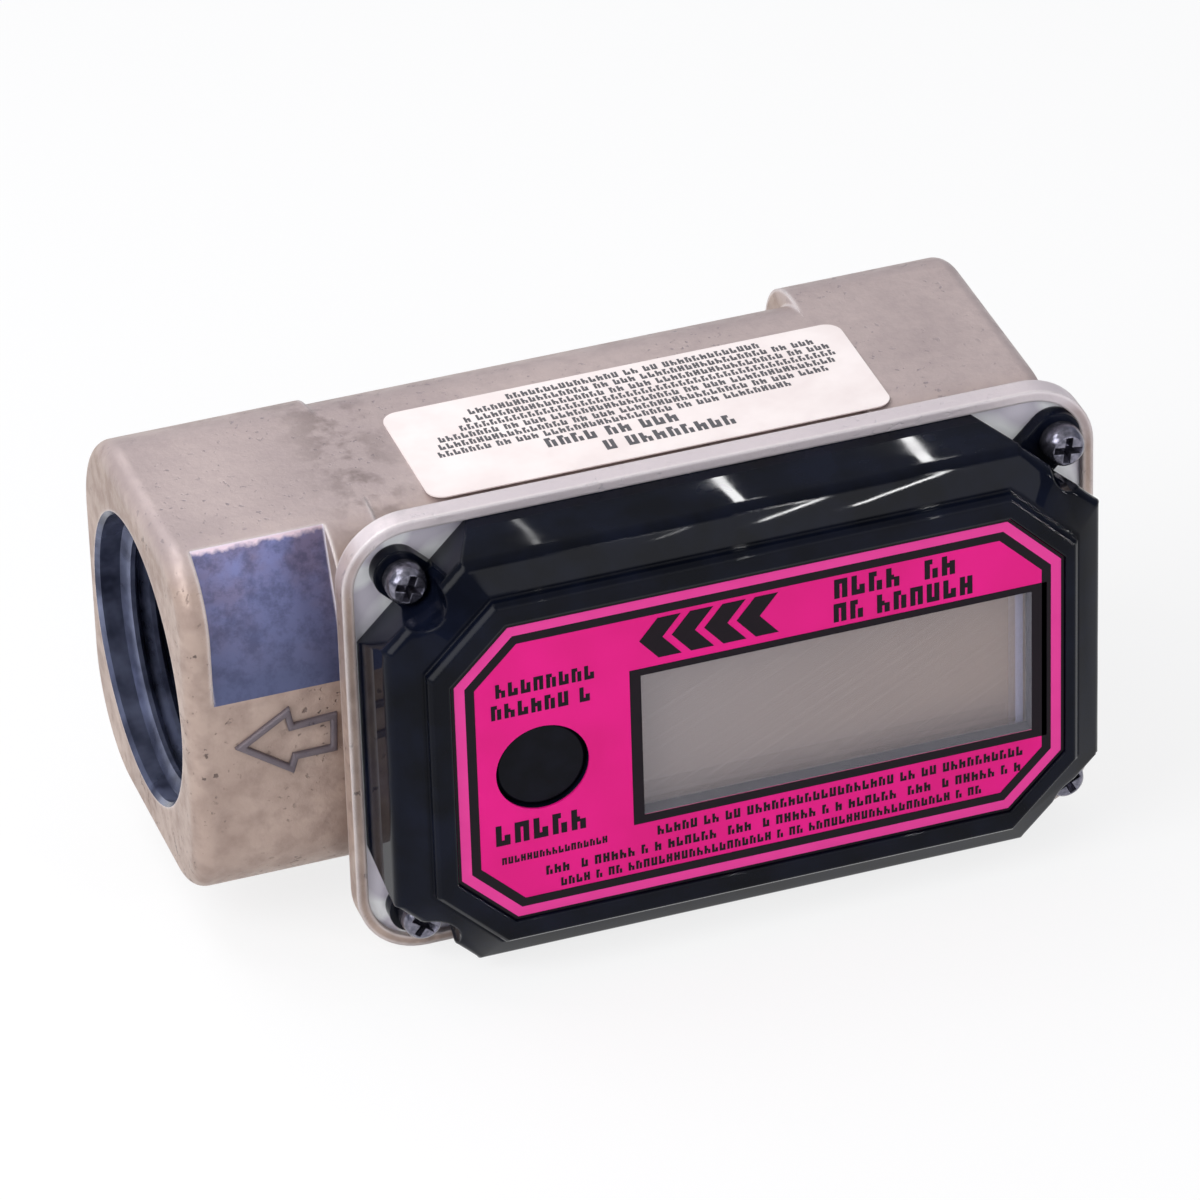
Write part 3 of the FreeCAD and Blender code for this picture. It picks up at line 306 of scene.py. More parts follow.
def moulded_black():
    """Glossy blue-black moulding with a faint flow of the plastic."""
    finish = Finish("moulded_black", gloss=0.1)
    cloud = finish.ramp(finish.noise(7 * MM, 3), 0.35, 0.65)
    tone = finish.mix(cloud, shade(6, 8, 16), shade(13, 17, 31))
    scuffs = finish.noise(3.0 * MM, 4, vector=finish.moved(stretch=(0.3, 1, 1)))
    wave = finish.noise(7 * MM, 1)
    normal = finish.bump(wave, 0.008 * MM, finish.soft_edges(0.45 * MM), 0.5)
    return finish.use(tone, finish.ramp(scuffs, 0.4, 0.75, 0.015, 0.04), normal)


def overlay_film():
    """Pink printed film with a fine satin grain."""
    finish = Finish("overlay_pink", rough=0.42, gloss=0.2)
    clouds = finish.ramp(finish.noise(12 * MM, 2), 0.35, 0.65)
    tone = finish.mix(clouds, shade(223, 12, 128), shade(212, 8, 118))
    grain = finish.noise(0.25 * MM, 2)
    return finish.use(tone, None, finish.bump(grain, 0.01 * MM, None, 0.3))


def pale_border_ink():
    """The paler pink printed round the film's edge."""
    finish = Finish("border_pink", rough=0.42, gloss=0.25)
    tone = finish.mix(finish.noise(6 * MM, 2), shade(226, 60, 148), shade(214, 44, 136))
    grain = finish.noise(0.25 * MM, 2)
    return finish.use(tone, None, finish.bump(grain, 0.01 * MM, None, 0.3))


def black_ink():
    """Black print, a little uneven."""
    finish = Finish("black_ink", rough=0.45, gloss=0.15)
    tone = finish.mix(finish.noise(1.5 * MM, 3), shade(10, 4, 12), shade(22, 8, 20))
    return finish.use(tone, None, finish.bump(finish.noise(0.3 * MM, 2), 0.01 * MM, None, 0.3))


def grey_ink():
    """Small grey print on paper."""
    finish = Finish("grey_ink", rough=0.6)
    tone = finish.mix(finish.noise(0.8 * MM, 3), shade(62, 60, 64), shade(104, 102, 106))
    return finish.use(tone, None, finish.bump(finish.noise(0.3 * MM, 2), 0.01 * MM, None, 0.3))


def clear_window():
    """Clear plastic pane that only shows by its gloss."""
    finish = Finish("window_clear", rough=0.05)
    finish.shader.inputs["Alpha"].default_value = 0.12
    haze = finish.noise(8 * MM, 2)
    tone = finish.mix(haze, shade(214, 212, 220), shade(200, 198, 208))
    return finish.use(tone, None, finish.bump(haze, 0.02 * MM, None, 0.2))


def blank_display():
    """A liquid crystal that is switched off: plain grey, with a painted inner shadow towards its lower right
    and a pale strip down its right edge, a painted reflection of the window's side wall.
    """
    finish = Finish("lcd_grey", rough=0.35)
    low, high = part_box("lcd_panel")
    along, _, up = finish.split(finish.place)
    share = finish.ramp(along, low.x, high.x)
    tone = finish.mix(share, shade(170, 158, 154), shade(176, 156, 144))
    # painted shadow inside the window's recess, darkest at the lower right
    painted_inner_shadow = finish.ramp(up, low.z, low.z + 7 * MM, 0.5, 0)
    tone = finish.mix(finish.math("MULTIPLY", painted_inner_shadow, share), tone, shade(96, 92, 106))
    # painted reflection: a pale lavender strip that stands for the window's side wall seen through the pane
    strip = finish.math("COMPARE", along, high.x - 2.1 * MM)
    strip.node.inputs[2].default_value = 0.45 * MM
    tone = finish.mix(strip, tone, shade(206, 204, 232))
    return finish.use(tone, None, finish.bump(finish.noise(0.3 * MM, 2), 0.01 * MM, None, 0.2))


def satin_metal(name, tone_a, tone_b, rough=0.3):
    """Bare metal with a fine grain."""
    grain = 0.6 * MM
    finish = Finish(name, metal=0.9, rough=rough)
    tone = finish.mix(finish.ramp(finish.noise(grain, 3), 0.35, 0.65), tone_a, tone_b)
    normal = finish.bump(finish.noise(grain / 2, 2), 0.02 * MM, finish.soft_edges(0.15 * MM), 0.4)
    return finish.use(tone, None, normal)


def plain_plastic(name, tone_a, tone_b, rough=0.45, gloss=0.5):
    """Moulded plastic or rubber with a fine grain."""
    grain = 0.5 * MM
    finish = Finish(name, rough=rough, gloss=gloss)
    tone = finish.mix(finish.ramp(finish.noise(grain * 6, 3), 0.35, 0.65), tone_a, tone_b)
    normal = finish.bump(finish.noise(grain, 2), 0.02 * MM, finish.soft_edges(0.15 * MM), 0.4)
    return finish.use(tone, None, normal)


def wound_copper():
    """Enamelled wire laid in close turns, with painted shade in the grooves between them and painted
    highlight on their crests.
    """
    finish = Finish("copper_wire", metal=0.9, rough=0.3)
    depth = finish.split(finish.place)[1]
    turns = finish.math("SINE", finish.math("MULTIPLY", depth, 2 * math.pi / (0.18 * MM)))
    # painted shade and highlight: the copper darkens in the grooves between turns and lightens on their
    # crests
    tone = finish.mix(finish.ramp(turns, -1, 1), shade(120, 58, 26), shade(212, 128, 72))
    return finish.use(tone, None, finish.bump(turns, 0.04 * MM))


def printed_board():
    """Green solder mask over copper tracks."""
    finish = Finish("board_green", rough=0.3)
    tracks = finish.ramp(finish.cells(2.4 * MM), 0.5, 0.54)
    tone = finish.mix(tracks, shade(16, 92, 50), shade(30, 124, 66))
    return finish.use(tone, None, finish.bump(tracks, 0.02 * MM))


def label_stock():
    """Off-white label paper."""
    finish = Finish("label_paper", rough=0.55)
    clouds = finish.ramp(finish.noise(6 * MM, 3), 0.35, 0.65)
    tone = finish.mix(clouds, shade(242, 232, 230), shade(234, 222, 220))
    return finish.use(tone, None, finish.bump(finish.noise(0.3 * MM, 3), 0.01 * MM, None, 0.4))


CAST = cast_aluminium()
# The flow arrow's skin carries painted shade with some grime.
ARROW = cast_aluminium("arrow_shade_and_grime", 0.8)
LAND = turned_land()
FLAT = milled_flat()
BORED = bored_metal()
BLACK = moulded_black()
INK = black_ink()
GREY_INK = grey_ink()
PINK = overlay_film()
PALE_PINK = pale_border_ink()
SCREW = satin_metal("screw_steel", shade(136, 134, 148), shade(92, 92, 104), 0.24)
CAP = plain_plastic("button_black", shade(8, 9, 15), shade(14, 15, 24), 0.35, gloss=0.08)


# ---- mesh tools ---------------------------------------------------------------------------------

def merged_copy(node):
    """A node's mesh with its doubles merged and its flat faces joined, ready for shading."""
    sheet = bmesh.new()
    sheet.from_mesh(NODES[node].data)
    bmesh.ops.remove_doubles(sheet, verts=sheet.verts, dist=0.002 * MM)
    bmesh.ops.dissolve_limit(sheet, angle_limit=math.radians(0.4), verts=sheet.verts, edges=sheet.edges)
    return sheet


def make_piece(name, sheet, materials, body="casing", sharp=28.0):
    """Turns a bmesh into a finished piece that rides on a body."""
    limit = math.radians(sharp)
    for face in sheet.faces:
        face.smooth = True
    for edge in sheet.edges:
        edge.smooth = len(edge.link_faces) == 2 and edge.calc_face_angle() < limit
    mesh = bpy.data.meshes.new(name)
    for material in materials:
        mesh.materials.append(material)
    sheet.to_mesh(mesh)
    sheet.free()
    if "custom_normal" in mesh.attributes:
        mesh.attributes.remove(mesh.attributes["custom_normal"])
    piece = bpy.data.objects.new(name, mesh)
    bpy.context.scene.collection.objects.link(piece)
    level = piece.modifiers.new("flat_faces_stay_flat", "WEIGHTED_NORMAL")
    level.keep_sharp = True
    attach(piece, body)
    return piece


def dress(node, material):
    """Gives a CAD node its finish."""
    mesh = NODES[node].data
    mesh.materials.clear()
    mesh.materials.append(material)


# ---- casting ------------------------------------------------------------------------------------

def is_bore(face):
    """True inside the ports and the bore."""
    return all(math.hypot(vert.co.y, vert.co.z) < BORE_RADIUS for vert in face.verts)


def is_land(face):
    """True on the faces that the cover sits on."""
    return face.normal.y < -0.99 and abs(face.verts[0].co.y - SEAT_Y) < 0.05 * MM


def is_flat(face):
    """True on the wrench flat of the outlet's end."""
    broad = face.calc_area() > 20 * MM * MM
    return broad and face.normal.dot(FLAT_FACING) > 0.999 and face.verts[0].co.x < MID_LENGTH


def make_casting():
    """The casting as it is cast and machined: skin, bored ports, spot-faced lands, wrench flat."""
    sheet = merged_copy("meter_body")
    for face in sheet.faces:
        if is_bore(face):
            face.material_index = 3
        elif is_land(face):
            face.material_index = 1
        elif is_flat(face):
            face.material_index = 2
        else:
            face.material_index = 0
    piece = make_piece("casting", sheet, [CAST, LAND, FLAT, BORED])
    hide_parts("meter_body")


def make_thread(name, mouth_x, inward):
    """A tapered pipe thread: a ridge wound from the mouth into the port."""
    pitch = 2.209 * MM
    root = 16.58 * MM
    height = 1.45 * MM
    lead_in = 1.1 * MM
    taper = 1 / 32
    turns = 6
    steps_per_turn = 48
    start = mouth_x + inward * lead_in
    sheet = bmesh.new()
    profile = ((0.02, 0), (0.98, 0), (0.62, height), (0.38, height))
    corners = [sheet.verts.new((start + inward * share * pitch, 0, root - rise)) for share, rise in profile]
    section = sheet.faces.new(corners)
    steps = turns * steps_per_turn
    bmesh.ops.spin(sheet, geom=[section] + list(section.edges) + list(section.verts), cent=(0, 0, 0),
                   axis=(1, 0, 0), dvec=(inward * pitch / steps_per_turn, 0, 0),
                   angle=2 * math.pi * turns, steps=steps, use_duplicate=False)
    for vert in sheet.verts:
        depth = abs(vert.co.x - start)
        share = 1 - depth * taper / root
        rise = root - math.hypot(vert.co.y, vert.co.z)
        on_ridge = rise > 0.1 * MM
        if on_ridge:
            vert.co.y *= share
            vert.co.z *= share
    caps = [edge for edge in sheet.edges if edge.is_boundary]
    bmesh.ops.holes_fill(sheet, edges=caps, sides=0)
    bmesh.ops.recalc_face_normals(sheet, faces=sheet.faces)
    make_piece(name, sheet, [BORED])


def make_flow_arrow():
    """The raised outline arrow on the outlet boss: it points the way the liquid goes."""
    front = -20.5 * MM
    sunk = 0.1 * MM
    corners = [(-47.6, -0.4), (-41.1, 3.6), (-40.7, 1.3), (-35.6, 1.6), (-35.8, -3.4), (-40.4, -3.4),
               (-41.0, -5.2)]
    sheet = bmesh.new()
    verts = [sheet.verts.new((MID_LENGTH + across * MM, front + sunk, up * MM)) for across, up in corners]
    outline = sheet.faces.new(verts)
    sheet.normal_update()
    if outline.normal.y > 0:
        outline.normal_flip()
    ring = bmesh.ops.inset_region(sheet, faces=[outline], thickness=0.75 * MM, depth=0, use_boundary=True,
                                  use_even_offset=True)["faces"]
    bmesh.ops.delete(sheet, geom=[outline], context="FACES")
    raised = bmesh.ops.extrude_face_region(sheet, geom=ring)["geom"]
    tops = [item for item in raised if isinstance(item, bmesh.types.BMVert)]
    bmesh.ops.translate(sheet, verts=tops, vec=(0, -0.7 * MM, 0))
    bmesh.ops.recalc_face_normals(sheet, faces=sheet.faces)
    rim = [edge for edge in sheet.edges if all(vert in tops for vert in edge.verts)
           and len(edge.link_faces) == 2 and edge.calc_face_angle() > 1]
    bmesh.ops.bevel(sheet, geom=rim, offset=0.16 * MM, segments=2, profile=0.5, affect="EDGES", material=-1)
    make_piece("flow_arrow", sheet, [ARROW])


# ---- display cover ------------------------------------------------------------------------------

def make_cover():
    """The moulded cover, shaded smooth over its rounded shoulder."""
    piece = make_piece("cover_moulding", merged_copy("display_cover"), [BLACK])
    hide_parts("display_cover")


def cut_corner_outline(sheet, left, right, low, high, cut, depth):
    """A flat octagonal face that looks towards the front."""
    spots = [(left + cut, low), (right - cut, low), (right, low + cut), (right, high - cut),
             (right - cut, high), (left + cut, high), (left, high - cut), (left, low + cut)]
    face = sheet.faces.new([sheet.verts.new((across, depth, up)) for across, up in spots])
    sheet.normal_update()
    if face.normal.y > 0:
        face.normal_flip()
    return face


def raise_print(sheet, way):
    """Gives flat printing its thin body of ink."""
    raised = bmesh.ops.extrude_face_region(sheet, geom=list(sheet.faces), use_keep_orig=True)["geom"]
    tops = [item for item in raised if isinstance(item, bmesh.types.BMVert)]
    ink_body = 0.03 * MM
    bmesh.ops.translate(sheet, verts=tops, vec=Vector(way) * ink_body)
    bmesh.ops.recalc_face_normals(sheet, faces=sheet.faces)


def print_band(name, outer, widths, material):
    """A printed line inside an outline of left, right, low, high and corner cut."""
    sheet = bmesh.new()
    face = cut_corner_outline(sheet, *outer, FACE_Y - PRINT_GAP)
    bmesh.ops.inset_region(sheet, faces=[face], thickness=widths, depth=0, use_boundary=True,
                           use_even_offset=True)
    bmesh.ops.delete(sheet, geom=[face], context="FACES")
    raise_print(sheet, (0, -1, 0))
    make_piece(name, sheet, [material])


def make_overlay_print():
    """Dark margin, pale border and octagonal line printed round the film."""
    left, right = OVERLAY_LOW.x, OVERLAY_HIGH.x
    low, high = OVERLAY_LOW.z, OVERLAY_HIGH.z
    cut = 6.6 * MM
    margin = 0.35 * MM
    border = 1.2 * MM
    line = 1.1 * MM
    shrink = 2 - math.sqrt(2)
    for name, width, material in (("margin_print", margin, INK), ("border_print", border, PALE_PINK),
                                  ("line_print", line, INK)):
        print_band(name, (left, right, low, high, cut), width, material)
        left, right, low, high = left + width, right - width, low + width, high - width
        cut -= width * shrink


def add_block(sheet, spots):
    """One flat printed block in the plane of the face."""
    return sheet.faces.new([sheet.verts.new((across, FACE_Y - PRINT_GAP, up)) for across, up in spots])


def make_window_print():
    """The black frame round the display, a little wider on its left."""
    left, right, low, high = WINDOW_LOW.x, WINDOW_HIGH.x, WINDOW_LOW.z, WINDOW_HIGH.z
    inner_left, inner_right = left + 1.9 * MM, right - 1.2 * MM
    outer_left, outer_right = left + 0.6 * MM, right + 0.6 * MM
    inner_low, inner_high = low + 1.2 * MM, high - 1.2 * MM
    outer_low, outer_high = low + 0.1 * MM, high - 0.3 * MM
    sheet = bmesh.new()
    add_block(sheet, [(outer_left, outer_low), (outer_right, outer_low), (outer_right, inner_low),
                      (outer_left, inner_low)])
    add_block(sheet, [(outer_left, inner_high), (outer_right, inner_high), (outer_right, outer_high),
                      (outer_left, outer_high)])
    add_block(sheet, [(outer_left, inner_low), (inner_left, inner_low), (inner_left, inner_high),
                      (outer_left, inner_high)])
    add_block(sheet, [(inner_right, inner_low), (outer_right, inner_low), (outer_right, inner_high),
                      (inner_right, inner_high)])
    bmesh.ops.remove_doubles(sheet, verts=sheet.verts, dist=0.001 * MM)
    raise_print(sheet, (0, -1, 0))
    make_piece("window_print", sheet, [INK])


def stroke_row(sheet, left, right, low, high, seed):
    """A row of stand-in print: pairs of stems joined by a bar, in groups, that spell nothing.

    The seed picks the row's own run of long and short stems.
    """
    tall = high - low
    stem = 0.25 * tall
    wide = 0.62 * tall
    across = left
    n = seed
    while across < right - wide:
        n = (n * 37 + 11) % 101
        if n % 6 == 0:
            across += 0.5 * tall
            continue
        short = tall * (1.0, 0.72, 0.5)[n % 3]
        level = tall * (0.0, 0.38, 0.75)[n // 3 % 3]
        for x_low, x_high, z_low, z_high in ((0, stem, 0, tall), (wide - stem, wide, 0, short),
                                             (stem, wide - stem, level, level + stem)):
            spots = [(across + x_low, low + z_low), (across + x_high, low + z_low),
                     (across + x_high, low + z_high), (across + x_low, low + z_high)]
            add_block(sheet, spots)
        across += wide + 0.2 * tall


def make_face_words():
    """Rows that stand where a meter carries its words: nothing here can be read."""
    sheet = bmesh.new()
    # left, right, low and high in millimetres from the middle of the meter, then the seed
    rows = [(-22.2, -10.3, 10.3, 12.1, 5), (-22.8, -9.8, 7.5, 9.4, 19),
            (-22.8, -8.6, -9.3, -6.6, 31), (-22.2, -9.2, -11.9, -11.0, 43),
            (-3.9, 39.9, -12.4, -11.2, 7), (-18.3, 39.7, -14.5, -13.3, 23), (-15.4, 35.4, -16.4, -15.3, 61),
            (17.5, 32.9, 13.9, 16.4, 47), (16.2, 35.4, 10.8, 13.2, 71)]
    for left, right, low, high, seed in rows:
        stroke_row(sheet, MID_LENGTH + left * MM, MID_LENGTH + right * MM, low * MM, high * MM, seed)
    raise_print(sheet, (0, -1, 0))
    make_piece("words_print", sheet, [INK])


def make_face_emblem():
    """Four bold chevrons that point along the flow."""
    sheet = bmesh.new()
    low, high = 11.2 * MM, 16.4 * MM
    middle = (low + high) / 2
    lean = 2.2 * MM
    bold = 2.7 * MM
    spacing = 3.8 * MM
    first_tip = MID_LENGTH - 5.4 * MM
    for n in range(4):
        tip = first_tip + spacing * n
        add_block(sheet, [(tip, middle), (tip + bold, middle), (tip + lean + bold, high), (tip + lean, high)])
        add_block(sheet, [(tip + lean, low), (tip + lean + bold, low), (tip + bold, middle), (tip, middle)])
    bmesh.ops.remove_doubles(sheet, verts=sheet.verts, dist=0.001 * MM)
    raise_print(sheet, (0, -1, 0))
    make_piece("emblem_print", sheet, [INK])


# ---- screws, button, label ----------------------------------------------------------------------

def add_pan_head(sheet):
    """A pan head with a cross recess, its seat at y 0 and its top towards -y."""
    radius = SCREW_HEAD_RADIUS
    tall = SCREW_HEAD_HEIGHT
    crown = 0.74 * radius
    profile = [(0.6 * radius, 0), (0.97 * radius, 0), (radius, 0.3 * tall), (0.96 * radius, 0.68 * tall),
               (0.87 * radius, 0.9 * tall), (crown, tall)]
    verts = [sheet.verts.new((across, -up, 0)) for across, up in profile]
    edges = [sheet.edges.new(pair) for pair in zip(verts, verts[1:])]
    bmesh.ops.spin(sheet, geom=verts + edges, cent=(0, 0, 0), axis=(0, 1, 0), angle=2 * math.pi, steps=40,
                   use_merge=True, use_duplicate=False)
    arm = 0.42 * MM
    reach = 1.65 * MM
    cross = [(arm, reach), (arm, arm), (reach, arm), (reach, -arm), (arm, -arm), (arm, -reach),
             (-arm, -reach), (-arm, -arm), (-reach, -arm), (-reach, arm), (-arm, arm), (-arm, reach)]
    corners = [sheet.verts.new((across, -tall, up)) for across, up in cross]
    rim = [sheet.edges.new((corners[n - 1], corners[n])) for n in range(len(corners))]
    top = [edge for edge in sheet.edges if edge.is_boundary and abs(edge.verts[0].co.y + tall) < 0.01 * MM]
    bmesh.ops.triangle_fill(sheet, edges=top + rim, use_beauty=True, normal=(0, -1, 0))
    walls = bmesh.ops.extrude_edge_only(sheet, edges=rim)["geom"]
    floor = [item for item in walls if isinstance(item, bmesh.types.BMVert)]
    for vert in floor:
        vert.co = Vector((vert.co.x * 0.5, vert.co.y + 1.5 * MM, vert.co.z * 0.5))
    bmesh.ops.holes_fill(sheet, edges=[edge for edge in sheet.edges if edge.is_boundary], sides=0)
    bmesh.ops.recalc_face_normals(sheet, faces=sheet.faces)


def make_cover_screws():
    """The four cover screws, each stopped at its own turn."""
    head = bmesh.new()
    add_pan_head(head)
    blank = bpy.data.meshes.new("pan_head")
    head.to_mesh(blank)
    head.free()
    sheet = bmesh.new()
    turns = {(-1, 1): 20, (-1, -1): 38, (1, 1): 8, (1, -1): 62}
    for (side, rise), turn in turns.items():
        across = SCREW_MIDDLE_X + side * SCREW_HALF_X + SCREW_LEAN
        up = rise * SCREW_HALF_Z - SCREW_LEAN
        placed = set(sheet.verts)
        sheet.from_mesh(blank)
        verts = [vert for vert in sheet.verts if vert not in placed]
        bmesh.ops.rotate(sheet, verts=verts, cent=(0, 0, 0),
                         matrix=Matrix.Rotation(math.radians(turn), 3, "Y"))
        bmesh.ops.translate(sheet, verts=verts, vec=(across, SCREWS_LOW.y + SCREW_HEAD_HEIGHT, up))
        length = SCREWS_HIGH.y - SCREWS_LOW.y - SCREW_HEAD_HEIGHT
        shank = bmesh.ops.create_cone(sheet, cap_ends=True, segments=24, radius1=SCREW_SHANK_RADIUS,
                                      radius2=SCREW_SHANK_RADIUS, depth=length,
                                      matrix=Matrix.Rotation(math.pi / 2, 4, "X"))["verts"]
        bmesh.ops.translate(sheet, verts=shank, vec=(across, SCREWS_HIGH.y - length / 2, up))
    piece = make_piece("pan_head_screws", sheet, [SCREW], sharp=40)
    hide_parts("cover_screws")


def make_label_print():
    """Rows of grey stand-in print on the top label."""
    sheet = bmesh.new()
    # left, right, front and back in millimetres from the middle of the meter, then the seed
    rows = [(-7, 24, 2.4, 3.5, 13), (-12, 30, 0.9, 2.0, 29), (-13, 31, -0.6, 0.5, 37),
            (-14, 31, -2.1, -1.0, 53), (-17, 31, -3.6, -2.5, 59), (-18, 29, -5.1, -4.0, 67),
            (-18, 24, -6.6, -5.5, 73), (-6, 11, -9.0, -7.1, 83), (0, 16, -11.9, -9.9, 91)]
    for left, right, front, back, seed in rows:
        stroke_row(sheet, MID_LENGTH + left * MM, MID_LENGTH + right * MM, front * MM, back * MM, seed)
    for vert in sheet.verts:
        vert.co = Vector((vert.co.x, vert.co.z, LABEL_TOP + PRINT_GAP))
    raise_print(sheet, (0, 0, 1))
    make_piece("label_print", sheet, [GREY_INK])


def dress_parts():
    """Finishes of the parts whose CAD shape is already right."""
    support = plain_plastic("support_plastic", shade(205, 202, 196), shade(190, 188, 184), 0.4)
    spring = satin_metal("spring_steel", shade(190, 190, 192), shade(160, 160, 164), 0.3)
    turbine = plain_plastic("rotor_plastic", shade(104, 106, 114), shade(88, 90, 98), 0.4)
    magnet = satin_metal("magnet", shade(196, 196, 198), shade(170, 170, 172), 0.25)
    ceramic = plain_plastic("bush_ceramic", shade(238, 234, 226), shade(226, 222, 212), 0.25)
    steel = satin_metal("hard_steel", shade(178, 178, 184), shade(150, 150, 156), 0.18)
    bobbin = plain_plastic("bobbin_plastic", shade(60, 60, 62), shade(50, 50, 52), 0.5)
    tin = satin_metal("tinned_pin", shade(222, 220, 216), shade(196, 194, 190), 0.35)
    rubber = plain_plastic("gasket_rubber", shade(32, 32, 34), shade(44, 44, 46), 0.75)
    switch = plain_plastic("switch_plastic", shade(52, 52, 54), shade(40, 40, 42), 0.5)
    strip = plain_plastic("strip_rubber", shade(96, 96, 100), shade(70, 70, 74), 0.6)
    chip = plain_plastic("chip_black", shade(40, 40, 42), shade(30, 30, 32), 0.6)
    cell = plain_plastic("cell_case", shade(134, 138, 146), shade(120, 124, 132), 0.3)
    finishes = {
        support: ("inlet_support", "outlet_support"), turbine: ("rotor",), magnet: ("rotor_magnets",),
        spring: ("inlet_retaining_ring", "outlet_retaining_ring", "battery_contacts"),
        ceramic: ("inlet_bearing", "outlet_bearing"),
        steel: ("inlet_thrust_washer", "outlet_thrust_washer", "rotor_shaft", "pickup_core"),
        bobbin: ("pickup_bobbin",), wound_copper(): ("pickup_coil",), tin: ("pickup_pins", "timing_crystal"),
        rubber: ("cover_gasket",), PINK: ("face_overlay",), clear_window(): ("display_window",),
        CAP: ("button_cap",), switch: ("button_switch", "switch_plunger", "lcd_holder"),
        printed_board(): ("circuit_board",), SCREW: ("board_screws",), blank_display(): ("lcd_panel",),
        strip: ("lcd_connector_strips",), chip: ("microcontroller", "board_components"),
        cell: ("battery_cells",), label_stock(): ("top_label",)}
    for material, nodes in finishes.items():
        for node in nodes:
            dress(node, material)


# ---- stage --------------------------------------------------------------------------------------

WHITE_SHARE = 0.8
STAGE_REACH = 9.0


def make_stage():
    """A wide pale floor that shows white and keeps a soft shadow."""
    sheet = bmesh.new()
    bmesh.ops.create_grid(sheet, x_segments=1, y_segments=1, size=STAGE_REACH)
    bmesh.ops.translate(sheet, verts=sheet.verts, vec=(MID_LENGTH, 0, cad_box[0].z))
    mesh = bpy.data.meshes.new("floor")
    sheet.to_mesh(mesh)
    sheet.free()
    floor = bpy.data.objects.new("floor", mesh)
    bpy.context.scene.collection.objects.link(floor)
    material = bpy.data.materials.new("pale_floor")
    material.use_nodes = True
    nodes = material.node_tree.nodes
    links = material.node_tree.links
    nodes.clear()
    matt = nodes.new("ShaderNodeBsdfDiffuse")
    matt.inputs["Color"].default_value = (0.86, 0.86, 0.87, 1)
    glow = nodes.new("ShaderNodeEmission")
    glow.inputs["Color"].default_value = (1, 1, 1, 1)
    path = nodes.new("ShaderNodeLightPath")
    seen = nodes.new("ShaderNodeMath")
    seen.operation = "MAXIMUM"
    links.new(path.outputs["Is Camera Ray"], seen.inputs[0])
    links.new(path.outputs["Is Glossy Ray"], seen.inputs[1])
    through = nodes.new("ShaderNodeMath")
    through.operation = "MAXIMUM"
    links.new(seen.outputs[0], through.inputs[0])
    links.new(path.outputs["Is Transmission Ray"], through.inputs[1])
    share = nodes.new("ShaderNodeMath")
    share.operation = "MULTIPLY"
    links.new(through.outputs[0], share.inputs[0])
    share.inputs[1].default_value = WHITE_SHARE
    blend = nodes.new("ShaderNodeMixShader")
    links.new(share.outputs[0], blend.inputs["Fac"])
    links.new(matt.outputs[0], blend.inputs[1])
    links.new(glow.outputs[0], blend.inputs[2])
    output = nodes.new("ShaderNodeOutputMaterial")
    links.new(blend.outputs[0], output.inputs["Surface"])
    mesh.materials.append(material)


def make_lamp(name, aim, direction, reach, width, height, watts, upright=(0, 0, 1)):
    """A soft area lamp that faces a spot from a direction; its height runs along upright."""
    lamp = bpy.data.lights.new(name, "AREA")
    lamp.shape = "RECTANGLE"
    lamp.size = width
    lamp.size_y = height
    lamp.energy = watts
    thing = bpy.data.objects.new(name, lamp)
    bpy.context.scene.collection.objects.link(thing)
    way = Vector(direction).normalized()
    level = Vector(upright).cross(way).normalized()
    turn = Matrix((level, way.cross(level), way)).transposed()
    thing.matrix_world = Matrix.Translation(aim + way * reach) @ turn.to_4x4()


def mirror_lamp(name, spot, normal, width, height, watts, upright):
    """A narrow lamp placed where a glossy face mirrors it into the camera."""
    view = (spot - bpy.context.scene.camera.matrix_world.translation).normalized()
    facing = Vector(normal).normalized()
    way = view - 2 * view.dot(facing) * facing
    reach = 0.45
    make_lamp(name, spot, way, reach, width, height, watts, upright)


def make_cover_lights():
    """Narrow strips that the glossy cover mirrors into the view as thin bright lines."""
    slope, wall = Vector((0, -0.84, 0.543)), Vector((0, -0.071, 0.997))
    slope_y, slope_inset = COVER_LOW.y + 2.3 * MM, 2.6 * MM
    wall_y, wall_inset = COVER_LOW.y + 8.0 * MM, 0.3 * MM
    strip_length = 40 * MM
    along = Vector((1, 0, 0))
    streaks = (("left_streak", -16.5, 1.0, 0.004), ("middle_streak", 7.0, 1.8, 0.03),
               ("right_streak", 29.2, 1.8, 0.03))
    faces = (("slope", slope_y, slope_inset, slope, 1.5), ("wall", wall_y, wall_inset, wall, 0.35))
    for name, across, width, watts in streaks:
        for part, depth, inset, normal, share in faces:
            spot = Vector((MID_LENGTH + across * MM, depth, COVER_HIGH.z - inset))
            mirror_lamp(name + "_" + part, spot, normal, width * MM, strip_length, watts * share,
                        along.cross(normal))
    half_cut = 6.7 * MM
    corner_inset = half_cut + 1.9 * MM
    corner = Vector((COVER_HIGH.x - corner_inset, slope_y, COVER_HIGH.z - corner_inset))
    mirror_lamp("corner_glint", corner, (0.384, -0.84, 0.384), 8 * MM, 14 * MM, 0.12, (0, 0, 1))
    side = Vector((COVER_LOW.x + slope_inset, slope_y, 3 * MM))
    mirror_lamp("side_glint", side, (-0.543, -0.84, 0), 30 * MM, 2 * MM, 0.1, (0, 0, 1))


